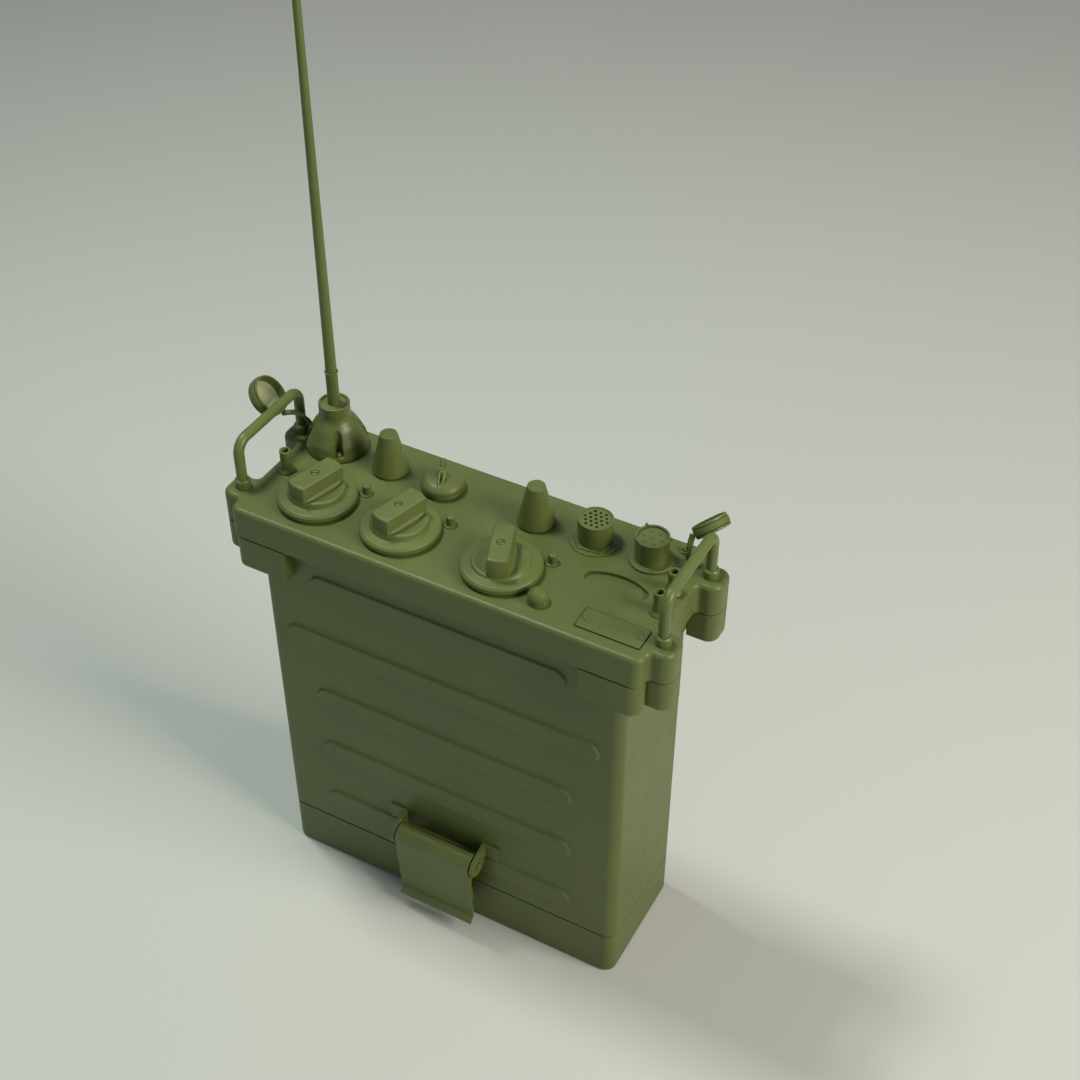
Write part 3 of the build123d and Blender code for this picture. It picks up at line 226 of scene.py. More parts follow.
def eased(node, name, bevel, crease=32.0, ceiling=None, swell=None):
    """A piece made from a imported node: doubles merged, flat facets joined, hard edges rounded by a bevel.

    A ceiling, in millimetres, presses down whatever stands higher. Swell is (centres, reach, factor): points
    nearer to a centre than the reach move out from it by the factor.
    """
    mesh = frame["nodes"][node].data.copy()
    points = np.empty(len(mesh.vertices) * 3)
    mesh.vertices.foreach_get("co", points)
    points = points.reshape(-1, 3) / MM
    if ceiling is not None:
        points[:, 2] = np.minimum(points[:, 2], ceiling)
    if swell is not None:
        centres, reach, factor = swell
        away = points[:, None, :2] - np.array(centres)[None]
        nearest = np.linalg.norm(away, axis=2).argmin(1)
        offset = away[np.arange(len(points)), nearest]
        near = np.linalg.norm(offset, axis=1) < reach
        points[near, :2] += offset[near] * (factor - 1)
    mesh.vertices.foreach_set("co", (points * MM).ravel())
    for layer in [a for a in mesh.attributes if a.name == "custom_normal"]:
        mesh.attributes.remove(layer)
    work = bmesh.new()
    work.from_mesh(mesh)
    bmesh.ops.remove_doubles(work, verts=work.verts, dist=WELD)
    bmesh.ops.dissolve_limit(work, angle_limit=math.radians(0.5), verts=work.verts, edges=work.edges)
    work.to_mesh(mesh)
    work.free()
    slot = SLOT_OF[node]
    return placed(name, mesh, FINISH[slot], BODY_OF[node], (node,), bevel, crease)


# ---------------------------------------------------------------- shader maths
class Wire:
    """One output in a material's nodes; arithmetic on it adds Math nodes."""

    def __init__(self, shade, socket):
        self.shade = shade
        self.socket = socket

    def math(self, operation, *values):
        return self.shade.add("ShaderNodeMath", {"operation": operation}, *values)

    def __add__(self, other):
        return self.math("ADD", self, other)

    def __mul__(self, other):
        return self.math("MULTIPLY", self, other)

    def __sub__(self, other):
        return self.math("SUBTRACT", self, other)

    def __rsub__(self, other):
        return self.math("SUBTRACT", other, self)

    __radd__ = __add__
    __rmul__ = __mul__


class Shade:
    """A material under construction: add() makes any node and returns its output as a Wire."""

    def __init__(self, name):
        self.material = bpy.data.materials.new(name)
        self.material.use_nodes = True
        self.tree = self.material.node_tree
        self.surface = next(n for n in self.tree.nodes if n.type == "BSDF_PRINCIPLED")
        self.place = self.add("ShaderNodeTexCoord", {}, output="Object")

    def join(self, socket, value):
        if isinstance(value, Wire):
            self.tree.links.new(value.socket, socket)
        else:
            socket.default_value = value

    def add(self, kind, settings, *values, output=0, sockets=None):
        node = self.tree.nodes.new(kind)
        for key, value in settings.items():
            setattr(node, key, value)
        for index, value in enumerate(values):
            self.join(node.inputs[index], value)
        for key, value in (sockets or {}).items():
            self.join(node.inputs[key], value)
        return Wire(self, node.outputs[output])

    def noise(self, scale, detail=2.0, roughness=0.5, place=None):
        sockets = {"Vector": place or self.place, "Scale": scale, "Detail": detail, "Roughness": roughness}
        return self.add("ShaderNodeTexNoise", {}, sockets=sockets)

    def step(self, value, low, high):
        """0 below low, 1 above high, and smooth between."""
        sockets = {"Value": value, "From Min": low, "From Max": high}
        return self.add("ShaderNodeMapRange", {"interpolation_type": "SMOOTHSTEP"}, sockets=sockets)

    def blend(self, factor, first, second):
        """A colour mixed from two."""
        sockets = {0: factor, 6: first, 7: second}
        return self.add("ShaderNodeMix", {"data_type": "RGBA"}, sockets=sockets, output=2)

    def bump(self, height, strength, depth):
        sockets = {"Height": height, "Strength": strength, "Distance": depth}
        return self.add("ShaderNodeBump", {}, sockets=sockets)

    def set(self, **sockets):
        for key, value in sockets.items():
            self.join(self.surface.inputs[key.replace("_", " ")], value)
        return self.material


def shade_of(colour, factor):
    """A colour made lighter or darker, with its alpha kept at 1."""
    return (colour[0] * factor, colour[1] * factor, colour[2] * factor, 1.0)


def olive_paint(name, colour, gloss=0.42, grain=0.5, cast=0.0):
    """Semi-gloss enamel: slow patches of tone, orange peel, dust, and a cast grain under it where asked."""
    shade = Shade(name)
    patches = shade.noise(16.0, 3.0)
    speckle = shade.noise(900.0, 2.0)
    dust = shade.step(shade.noise(70.0, 5.0, 0.62), 0.46, 0.80)
    tone = shade.step(patches, 0.25, 0.78) * 0.75 + speckle * 0.25
    paint = shade.blend(tone, shade_of(colour, 0.88), shade_of(colour, 1.10))
    dusty = (colour[0] * 1.22 + 0.008, colour[1] * 1.18 + 0.008, colour[2] * 1.3 + 0.004, 1.0)
    peel = shade.noise(520.0, 2.0, 0.55)
    height = peel * grain + shade.noise(1700.0, 1.0) * 0.25
    if cast:
        height = height + shade.noise(260.0, 3.0, 0.6) * cast
    return shade.set(
        Base_Color=shade.blend(dust * 0.32, paint, dusty),
        Roughness=gloss + patches * 0.10 + dust * 0.14,
        Specular_IOR_Level=0.42,
        Normal=shade.bump(height, 0.20, 0.00030),
    )


def rubber(name, colour):
    """Moulded rubber: matt, faintly mottled, with a fine grain."""
    shade = Shade(name)
    bloom = shade.step(shade.noise(60.0, 4.0, 0.6), 0.4, 0.75)
    return shade.set(
        Base_Color=shade.blend(bloom * 0.5, shade_of(colour, 0.9), shade_of(colour, 1.25)),
        Roughness=0.62 + bloom * 0.16,
        Specular_IOR_Level=0.35,
        Normal=shade.bump(shade.noise(1200.0, 2.0), 0.15, 0.0002),
    )


def bare_metal(name, colour, roughness=0.32, brushed=(30.0, 30.0, 1600.0)):
    """Turned or brushed metal: fine lines one way, a little tarnish in slow patches."""
    shade = Shade(name)
    stretch = shade.add("ShaderNodeMapping", {}, sockets={"Vector": shade.place, "Scale": brushed})
    lines = shade.noise(1.0, 3.0, 0.6, stretch)
    tarnish = shade.step(shade.noise(90.0, 4.0), 0.45, 0.75)
    return shade.set(
        Base_Color=shade.blend(tarnish * 0.5, shade_of(colour, 1.0), shade_of(colour, 0.62)),
        Metallic=1.0,
        Roughness=roughness + lines * 0.12 + tarnish * 0.16,
        Normal=shade.bump(lines, 0.10, 0.0001),
    )


def moulded(name, colour, roughness=0.5):
    """Moulded insulator: even colour with a faint flow pattern."""
    shade = Shade(name)
    flow = shade.noise(45.0, 4.0, 0.6)
    return shade.set(
        Base_Color=shade.blend(flow, shade_of(colour, 0.85), shade_of(colour, 1.15)),
        Roughness=roughness + flow * 0.12,
        Normal=shade.bump(shade.noise(1500.0, 1.0), 0.08, 0.0001),
    )


def layered_board(name, colour):
    """Glass-epoxy board: a cross weave under a green coat."""
    shade = Shade(name)
    threads = {"Vector": shade.place, "Scale": 260.0}
    warp = shade.add("ShaderNodeTexWave", {"bands_direction": "X"}, sockets=threads, output=1)
    weft = shade.add("ShaderNodeTexWave", {"bands_direction": "Z"}, sockets=threads, output=1)
    weave = warp * weft
    return shade.set(
        Base_Color=shade.blend(weave, shade_of(colour, 0.8), shade_of(colour, 1.5)),
        Roughness=0.34 + weave * 0.1,
        Normal=shade.bump(weave, 0.1, 0.0001),
    )


def waxed_card(name, colour):
    """Waxed card wrap of the battery: fibrous, faintly stained."""
    shade = Shade(name)
    fibres = {"Vector": shade.place, "Scale": (120.0, 900.0, 900.0)}
    fibre = shade.noise(1.0, 4.0, 0.7, shade.add("ShaderNodeMapping", {}, sockets=fibres))
    stain = shade.step(shade.noise(30.0, 4.0), 0.45, 0.7)
    return shade.set(
        Base_Color=shade.blend(fibre * 0.5 + stain * 0.4, shade_of(colour, 1.2), shade_of(colour, 0.7)),
        Roughness=0.55 + fibre * 0.15,
        Normal=shade.bump(fibre, 0.12, 0.0002),
    )


OLIVE = (0.100, 0.126, 0.030)
FINISH = {
    "panel_paint": olive_paint("panel_enamel", shade_of(OLIVE, 1.0), 0.40, 0.5, 0.5),
    "case_paint": olive_paint("case_enamel", shade_of(OLIVE, 0.96), 0.38, 0.5),
    "rim_paint": olive_paint("rim_enamel", shade_of(OLIVE, 0.98), 0.42, 0.5, 0.6),
    "handle_paint": olive_paint("handle_enamel", shade_of(OLIVE, 1.08), 0.34, 0.35),
    "knob_paint": olive_paint("knob_enamel", shade_of(OLIVE, 1.08), 0.38, 0.45, 0.2),
    "fitting_paint": olive_paint("fitting_enamel", shade_of(OLIVE, 1.05), 0.36, 0.4),
    "antenna_paint": olive_paint("antenna_enamel", shade_of(OLIVE, 1.08), 0.34, 0.35),
    "latch_paint": olive_paint("latch_enamel", shade_of(OLIVE, 1.04), 0.38, 0.4),
    "insert_plastic": moulded("olive_insulator", shade_of(OLIVE, 1.05)),
    "button_rubber": rubber("olive_boot", shade_of(OLIVE, 1.10)),
    "strap_rubber": rubber("olive_strap", shade_of(OLIVE, 1.12)),
    "gasket_rubber": rubber("gasket_rubber", (0.020, 0.024, 0.014)),
    "steel": bare_metal("plated_steel", (0.50, 0.50, 0.48)),
    "brass": bare_metal("machined_brass", (0.62, 0.44, 0.18)),
    "chassis_metal": bare_metal("chromated_sheet", (0.62, 0.60, 0.50), 0.42, (800.0, 20.0, 20.0)),
    "board": layered_board("circuit_board", (0.02, 0.11, 0.045)),
    "can_metal": bare_metal("tinned_cans", (0.66, 0.66, 0.66), 0.36),
    "battery_wrap": waxed_card("waxed_card", (0.24, 0.19, 0.10)),
    "switch_phenolic": moulded("phenolic_sheet", (0.14, 0.06, 0.022), 0.42),
}
CAP_LINER = moulded("pale_liner", (0.42, 0.44, 0.25), 0.6)
SLOT_OF = {part["node"]: part["material_slot"] for part in frame["record"]["subparts"]}
for node_name, packed in frame["nodes"].items():
    packed.data.materials.clear()
    packed.data.materials.append(FINISH[SLOT_OF[node_name]])


def new_piece(name, mesh, node, crease=38.0):
    """A new piece in a node's place, with that node's body and slot."""
    slot = SLOT_OF[node]
    return placed(name, mesh, FINISH[slot], BODY_OF[node], (node,), 0.0, crease)


# ---------------------------------------------------------------- cast and pressed pieces, eased
EASED = {
    "control_panel": ("panel_casting", 0.5),
    "case_rim": ("rim_casting", 0.8),
    "case_shell": ("ribbed_case", 0.5),
    "clamp_blocks": ("clamp_feet", 0.8),
    "battery_box": ("battery_tray", 0.5),
    "handle_left": ("left_handle_rod", 0.0),
    "handle_right": ("right_handle_rod", 0.0),
    "handle_collars": ("handle_sleeves", 0.3),
    "latch_lever_front": ("front_latch_lever", 0.4),
    "latch_lever_rear": ("rear_latch_lever", 0.4),
    "latch_bail_front": ("front_latch_wire", 0.0),
    "latch_bail_rear": ("rear_latch_wire", 0.0),
    "latch_ears": ("latch_brackets", 0.5),
    "latch_keepers": ("latch_hooks", 0.4),
    "latch_pins": ("latch_hinge_pins", 0.3),
    "audio_socket_shell": ("audio_socket_barrel", 0.3),
    "power_socket_shell": ("power_socket_barrel", 0.3),
    "nameplate": ("blank_nameplate", 0.15),
    "light_button": ("light_boot", 0.0),
    "antenna_sleeve": ("antenna_ferrule", 0.2),
    "antenna_whip": ("antenna_rod", 0.0),
    "antenna_insulator": ("antenna_disc", 0.4),
}
for packed_node, (piece_name, ease) in EASED.items():
    eased(packed_node, piece_name, ease)


HOLE_PITCH = 3.4
HOLE_ROWS = range(-2, 3)
HOLE_FIELD = 2.1 * HOLE_PITCH  # holes farther from the middle are left out
PIN_CIRCLE = 5.4


def socket_faces():
    """Faces with their contacts opened out a little: rows of holes, and a ring of six pins and one."""
    row_pitch = HOLE_PITCH * math.sin(math.radians(60))
    pairs = [(column, row) for row in HOLE_ROWS for column in HOLE_ROWS]
    grid = [(HOLE_PITCH * (column + row / 2), row_pitch * row) for column, row in pairs]
    holes = [middle("audio_socket_insert")[:2] + place for place in grid if math.hypot(*place) < HOLE_FIELD]
    eased("audio_socket_insert", "audio_socket_face", 0.1, swell=(holes, 1.3, 1.25))
    ring = [(PIN_CIRCLE * math.cos(a), PIN_CIRCLE * math.sin(a)) for a in np.radians(np.arange(6) * 60)]
    pins = [middle("power_socket_insert")[:2] + place for place in [(0.0, 0.0), *ring]]
    eased("power_socket_insert", "power_socket_face", 0.2, swell=(pins, 1.5, 1.4))


socket_faces()
eased("light_bezel", "light_collar", 0.0, ceiling=PANEL_TOP - 0.1)


SHADOW_BEAD_WIDTH = 0.35


def nameplate_shadow_bead():
    """A thin dark bead of painted shade round the blank nameplate: its outline carried outwards, almost as high
    as the plate.
    """
    thick = extent("nameplate")[2]
    right, back, _ = extent("nameplate") / 2 + SHADOW_BEAD_WIDTH
    corners = [(0, back), (right, back), (right, -back), (-right, -back), (-right, back), (0, back)]
    outline = rounded(corners, 0.6)[:-1][::-1]
    levels = [(0, 0), (0, thick - 0.12), (0.15, thick - 0.04)]
    bead = skinned([turned(prism(outline, levels), seat("nameplate"))])
    # the gasket rubber's dark colour here is painted shade along the plate's edge, not a seal
    placed("nameplate_shadow_bead", bead, FINISH["gasket_rubber"], "radio", ())


nameplate_shadow_bead()


# ---------------------------------------------------------------- turned, cast and formed pieces
def arc(centre, radius, start, end, count):
    """Points on an arc, angles in degrees."""
    angle = np.radians(np.linspace(start, end, count))
    return np.stack((centre[0] + radius * np.cos(angle), centre[1] + radius * np.sin(angle)), 1)


AXIS = 0.01  # the radius at which a turned profile stops short of its axis
ORIGIN = (0, 0, 0)


def slotted_head(radius, height, slot):
    """A cheese-head screw round the origin: a disc under two half discs, with a slot between them."""
    floor = height * 0.45
    edge = radius * 0.16
    cut = math.degrees(math.asin(slot / 2 / radius))
    half = arc((0, 0), radius, cut, 180 - cut, 25)
    chord = np.linspace(half[-1], half[0], 12)[1:-1]
    outline = np.concatenate((half, chord))
    levels = [(0, 0), (0, height - edge), (edge * 0.35, height - edge * 0.3), (edge, height)]
    disc = lathe([(radius, 0), (radius, floor)], ORIGIN, turns=48)
    halves = prism(outline, levels)
    return [disc, halves, turned(halves, ORIGIN, 180)]


def moved(grids, place, degrees=0.0):
    """Several grids turned about +Z and moved together."""
    return [turned(rings, place, degrees) for rings in grids]


KNOB_ANGLE = {"left": -15.0, "middle": -15.0, "right": 21.0}
KNOB_STEP = {"left": 4.0, "middle": 4.0, "right": 2.0}
BAR_WIDTH = {"left": 13.0, "middle": 13.0, "right": 12.0}
SKIRT_HEIGHT = 4.5
HUB_RADIUS = 16.25
SCREW_RADIUS = 2.2
BAR_FLARE = 2.6  # radius where the bar's flanks run into the hub
BAR_EDGE = 1.4  # radius of the bar's upper edges


def bar_outline(width, reach, count=40):
    """A strip across a circle: straight flanks, and ends that follow the circle.

    The second result is 1 along the flanks and 0 on the ends.
    """
    half = width / 2
    corner = math.degrees(math.atan2(math.sqrt(reach**2 - half**2), half))
    end = arc((0, 0), reach, corner, 180 - corner, 17)
    flank = np.linspace(end[-1], end[-1] * (1, -1), count)[1:-1]
    outline = np.concatenate((end, flank, -end, -flank))
    edge = np.linspace(0, 1, count)[1:-1]
    on_flank = np.clip(np.minimum(edge, 1 - edge) / 0.12, 0, 1)
    weight = np.concatenate((np.zeros(17), on_flank, np.zeros(17), on_flank))
    return outline, weight


def bar_knob(side):
    """Round skirt, stepped hub with a dished shoulder, and a tall flared bar with a slotted screw.

    Skirt and hub are one turned profile. The bar is its outline carried up: moved out by a quarter circle at the
    foot, and scaled in by a quarter circle at the top, where it closes on the screw's hole.
    """
    node = f"knob_{side}"
    place = seat(node)
    width, _, top = extent(node)
    skirt = width / 2
    shoulder = SKIRT_HEIGHT + KNOB_STEP[side]
    hub = rounded(
        [
            (AXIS, 0),
            (skirt - 0.5, 0),
            (skirt, 0.6),
            (skirt, SKIRT_HEIGHT - 1.3),
            (skirt - 1.6, SKIRT_HEIGHT),
            (HUB_RADIUS + 0.8, SKIRT_HEIGHT + 0.25),
            (HUB_RADIUS, shoulder - 0.2),
            (HUB_RADIUS - 1.6, shoulder + 0.1),
            (HUB_RADIUS - 6.0, shoulder - 0.7),
            (AXIS, shoulder - 0.7),
        ],
        (0, 0.4, 0.5, 0.9, 1.2, 0.9, 0.9, 1.4, 2.5, 0),
    )
    outline, flank = bar_outline(BAR_WIDTH[side], HUB_RADIUS)
    foot = shoulder - 0.75
    quarter = np.linspace(0, math.pi / 2, 7)
    levels = [(-BAR_FLARE * (1 - math.sin(a)), foot + BAR_FLARE * (1 - math.cos(a))) for a in quarter]
    body = prism(outline, levels + [(0, top - BAR_EDGE)], flank)
    inset = BAR_EDGE * (1 - np.cos(quarter))[:, None]
    across = outline[None, :, 0] * (1 - inset / (BAR_WIDTH[side] / 2))
    forward = outline[None, :, 1] * (1 - inset / HUB_RADIUS)
    rise = np.broadcast_to(top - BAR_EDGE * (1 - np.sin(quarter))[:, None], across.shape)
    soft_top = np.stack((across, forward, rise), -1)
    crown = soft_top[-1]
    around = np.arctan2(crown[:, 1], crown[:, 0])
    ring = np.stack((np.cos(around), np.sin(around), np.zeros(len(around))), 1)
    hole = [ring * (SCREW_RADIUS + 0.35) + (0, 0, top), ring * (SCREW_RADIUS + 0.3) + (0, 0, top - 0.9)]
    bar = np.concatenate((body, soft_top[1:], [0.94 * crown + 0.06 * hole[0], hole[0], hole[1]]))
    screw = moved(slotted_head(SCREW_RADIUS, 1.15, 0.7), (0, 0, top - 1.0), 40.0)
    grids = moved([lathe(hub, ORIGIN, turns=96), bar, *screw], place, KNOB_ANGLE[side])
    eased(f"{node}_shaft", f"{side}_knob_shaft", 0.0, ceiling=place[2] + top - 1.4)
    new_piece(f"{side}_bar_knob", skinned(grids), node, 34.0)


for knob_side in KNOB_ANGLE:
    bar_knob(knob_side)


SET_SCREW_RADIUS = 1.35
SET_SCREW_DEPTH = 1.5
INDEX_DOT = (-3.0, -1.6)


def cone_knob(control):
    """A tall cone with a flat crown, its radius falling evenly from the base to the tip.

    The set-screw hole takes a depth off the radius, and the index dot off the height; each depth fades to
    nothing with the distance from the middle of its hole.
    """
    node = f"{control}_knob"
    width, _, height = extent(node)
    base, tip = width / 2, 5.25
    flank = np.linspace(0, 1, 74)
    wall = np.stack((base + (tip - base) * flank, height * flank), 1)[2:-2]
    lower = rounded([(AXIS, 0), (base, 0), tuple(wall[0])], 0.7)
    upper = rounded([tuple(wall[-1]), (tip, height), (AXIS, height)], 0.8)
    crown = np.linspace(upper[-2], upper[-1], 22)[1:]
    profile = np.concatenate((lower[:-1], wall, upper[1:-1], crown))
    turns = 168
    rings = lathe(profile, ORIGIN, turns=turns)
    angle = np.linspace(0, 2 * np.pi, turns, endpoint=False)[None]
    radius, rise = profile[:, :1], profile[:, 1:]
    hole_angle, hole_height = math.radians(8.0), height * 0.62
    across = np.angle(np.exp(1j * (angle - hole_angle))) * radius
    off = np.hypot(across, rise - hole_height)
    depth = SET_SCREW_DEPTH * np.clip((SET_SCREW_RADIUS - off) / 0.5, 0, 1) ** 0.7
    inner = 1 - depth / np.maximum(radius, 0.5)
    rings[..., :2] *= np.where(rise < height - 0.5, inner, 1.0)[..., None]
    dot = np.hypot(rings[..., 0] - INDEX_DOT[0], rings[..., 1] - INDEX_DOT[1])
    rings[..., 2] -= np.where(rise > height - 0.2, 0.8 * np.clip((0.62 - dot) / 0.25, 0, 1), 0)
    new_piece(f"{control}_cone_knob", skinned([rings + seat(node)]), node, 50.0)


for cone in ("volume", "squelch"):
    cone_knob(cone)


def thorn(root, tip, wide):
    """A slender blade on a straight path: radius = width * (1 - share of the way) ** 0.8."""
    share = np.linspace(0, 1, 9)[:, None]
    path = np.array(root) + (np.array(tip) - np.array(root)) * share
    radius = wide * (1 - share[:, 0]) ** 0.8 + 0.06
    return tube(path, radius, turns=10)


def winged_knob():
    """A turned dome with a slotted hub, and two pairs of pointed blades, raised behind and laid forward."""
    place = (*middle("winged_shaft")[:2], seat("winged_knob")[2])
    height = extent("winged_knob")[2]
    radius = 13.0
    dome = rounded(
        [
            (AXIS, 0),
            (radius - 0.4, 0),
            (radius - 0.4, 0.9),
            (radius - 0.8, 1.2),
            (radius, 1.6),
            (radius, 5.0),
            (radius - 3.2, 7.6),
            (4.6, 8.7),
            (3.3, 9.2),
            (3.3, 12.2),
            (2.9, 12.6),
            (AXIS, 12.6),
        ],
        (0, 0.3, 0.2, 0.3, 0.4, 3.2, 5.0, 0.9, 0.5, 0.3, 0.3, 0),
        7,
    )
    grids = [lathe(dome, ORIGIN, turns=88)]
    grids += moved(slotted_head(2.5, 1.0, 0.7), (0, 0, 12.3), 30.0)
    for hand in (-1, 1):
        grids.append(thorn((hand * 1.4, 2.2, 7.5), (hand * 1.1, 4.8, height), 1.0))
        grids.append(thorn((hand * 1.5, -2.4, 11.6), (hand * 1.0, -13.0, 5.2), 1.15))
    new_piece("winged_dial", skinned(moved(grids, place, 22.0)), "winged_knob", 40.0)


winged_knob()

STUD_PLACES = ((-68.4, -1.1), (-11.8, -1.7), (54.1, -2.2))
POST_PLACES = ((-121.0, -5.8), (122.7, -10.0), (122.5, 8.4))


def index_studs():
    """Small stop studs, each one turned profile: a thin washer with a raised lip, and a round-topped stud."""
    height, level = extent("index_pins")[2], seat("index_pins")[2]
    washer = [(AXIS, 0), (4.2, 0), (4.2, 0.7), (3.6, 0.7), (3.4, 0.35), (2.9, 0.4)]
    stud = [(2.5, 1.1), (2.5, height), (AXIS, height)]
    profile = rounded(washer + stud, (0, 0.2, 0.25, 0.2, 0.2, 0.3, 0.5, 1.3, 0))
    grids = [lathe(profile, (x, y, level), turns=48) for x, y in STUD_PLACES]
    new_piece("stop_studs", skinned(grids), "index_pins", 40.0)


def binding_posts():
    """Hollow terminal posts, each one turned profile: a flared foot, a grooved waist, a sleeve and its bore."""
    top, level = extent("terminal_posts")[2], seat("terminal_posts")[2]
    profile = rounded(
        [
            (AXIS, 0),
            (5.2, 0),
            (5.2, 0.7),
            (3.9, 2.4),
            (3.3, 8.4),
            (3.0, 8.6),
            (3.0, 9.1),
            (3.4, 9.3),
            (3.4, top),
            (2.2, top),
            (2.2, 3.2),
            (AXIS, 3.2),
        ],
        (0, 0.2, 0.4, 2.5, 0.2, 0.1, 0.1, 0.3, 0.35, 0.3, 0.2, 0),
    )
    grids = [lathe(profile, (x, y, level), turns=56) for x, y in POST_PLACES]
    new_piece("binding_posts", skinned(grids), "terminal_posts", 40.0)


index_studs()
binding_posts()

SCREW_BEARINGS = np.radians(37.0 + 90.0 * np.arange(4))
SCREW_CIRCLE = 14.6
SCOOP_RADIUS = 2.7
FOOT_RIM = 3.2  # height of the plain rim under the bell's flare
BORE_DEPTH = 2.9


def antenna_bell():
    """Bell-shaped antenna foot: radius = bell profile, less an upright scoop at each screw."""
    width, _, height = extent("antenna_base")
    foot, neck, rim = width / 2, 9.3, 7.6
    slope = [(foot, FOOT_RIM), (17.6, 8.6), (13.4, 17.4), (neck, 23.2), (neck, height - 1.2)]
    wall = rounded(slope, (0, 9, 16, 8, 0), 12)
    length = np.concatenate(([0], np.cumsum(np.hypot(*np.diff(wall, axis=0).T))))
    even = np.linspace(0, length[-1], 90)
    wall = np.stack((np.interp(even, length, wall[:, 0]), np.interp(even, length, wall[:, 1])), 1)
    lower = rounded([(AXIS, 0), (foot - 0.6, 0), (foot, 0.8), tuple(wall[0])], 0.6)
    floor = height - BORE_DEPTH
    lip = [tuple(wall[-1]), (neck, height), (rim, height), (rim, floor), (AXIS, floor)]
    upper = rounded(lip, (0, 0.7, 0.3, 0.2, 0))
    profile = np.concatenate((lower[:-1], wall, upper[1:]))
    turns = 240
    rings = lathe(profile, ORIGIN, turns=turns)
    angle = np.linspace(0, 2 * np.pi, turns, endpoint=False)[None]
    radius, rise = profile[:, :1], profile[:, 1:]
    shift = np.zeros((len(profile), turns))
    for bearing in SCREW_BEARINGS:
        turn = angle - bearing
        aside = np.abs(np.sin(turn)) * radius
        reach = SCREW_CIRCLE - np.sqrt(np.maximum(SCOOP_RADIUS**2 - aside**2, 0))
        inside = (aside < SCOOP_RADIUS) & (np.cos(turn) > 0) & (rise > FOOT_RIM) & (rise < height - 8)
        shift = np.where(inside, np.minimum(reach - radius * np.cos(turn), 0), shift)
    rings[..., :2] *= (1 + shift / np.maximum(radius, 1))[..., None]
    new_piece("antenna_bell", skinned([rings + seat("antenna_base")]), "antenna_base", 48.0)


antenna_bell()

TETHER_PLACES = ((-127.6, 40.5), (120.5, 38.5))
PANEL_SCREW = (114.0, 42.2)
RIVET_REACH = 16.5


def screws():
    """Round heads at the antenna's foot, slotted ones on the straps and panel, and the nameplate's rivets."""
    x, y, _ = middle("antenna_base")
    dome = rounded([(AXIS, 0), (2.3, 0), (2.3, 1.4), (1.3, 2.4), (AXIS, 2.5)], (0, 0.1, 0.8, 0.9, 0), 6)
    spots = [(x + SCREW_CIRCLE * math.cos(b), y + SCREW_CIRCLE * math.sin(b)) for b in SCREW_BEARINGS]
    grids = [lathe(dome, (*spot, PANEL_TOP + FOOT_RIM - 0.3), turns=36) for spot in spots]
    for x, y in TETHER_PLACES:
        grids += moved(slotted_head(2.8, 1.8, 0.8), (x, y, PANEL_TOP + 1.6), 25.0)
    washer = rounded([(AXIS, 0), (3.3, 0), (3.3, 0.8), (AXIS, 0.8)], 0.25)
    grids.append(lathe(washer, (*PANEL_SCREW, PANEL_TOP), turns=40))
    grids += moved(slotted_head(2.2, 1.8, 0.7), (*PANEL_SCREW, PANEL_TOP + 0.8), 60.0)
    x, y, _ = middle("nameplate")
    plate_top = span("nameplate")[1][2]
    rivet = rounded([(AXIS, 0), (1.6, 0), (1.6, 0.35), (0.9, 1.0), (AXIS, 1.05)], (0, 0.1, 0.5, 0.5, 0), 6)
    grids += [lathe(rivet, (x + reach, y, plate_top), turns=36) for reach in (-RIVET_REACH, RIVET_REACH)]
    new_piece("panel_fasteners", skinned(grids), "panel_screws", 40.0)


screws()


WASHER_RADIUS = 14.5
NUT_CORNER = 13.3  # from the middle to a corner
COLLAR = (9.3, 13.0, 1.6)  # inner and outer radius, thickness


def socket_collars():
    """A thin washer with a hexagon nut for the many-hole socket, and a thick rounded ring for the other.

    The nut is six corners joined by straight sides and carried up; washer and ring are turned profiles.
    """
    level = seat("socket_rings")[2]
    audio, power = ((*middle(f"{socket}_socket_shell")[:2], level) for socket in ("audio", "power"))
    barrel = extent("audio_socket_shell")[0] / 2
    bore, thick = barrel - 0.7, 0.7
    washer = rounded([(bore, 0), (WASHER_RADIUS, 0), (WASHER_RADIUS, thick), (bore, thick)], 0.25)
    grids = [lathe(washer, audio, turns=80)]
    corner = np.radians(np.arange(6) * 60.0)
    corners = NUT_CORNER * np.stack((np.cos(corner), np.sin(corner)), 1)
    side = np.linspace(0, 1, 14, endpoint=False)[None, :, None]
    outline = (corners[:, None] * (1 - side) + np.roll(corners, -1, 0)[:, None] * side).reshape(-1, 2)
    nut = prism(outline, [(0, 0.6), (0, 1.35), (0.25, 1.6), (1.2, 1.6)])
    grids.append(turned(nut, audio, 8.0))
    inner, outer, thick = COLLAR
    ring = rounded([(inner, 0), (outer, 0), (outer, thick), (inner, thick)], (0, 0.5, 0.8, 0), 8)
    grids.append(lathe(ring, power, turns=80))
    new_piece("socket_collars", skinned(grids), "socket_rings", 40.0)


socket_collars()

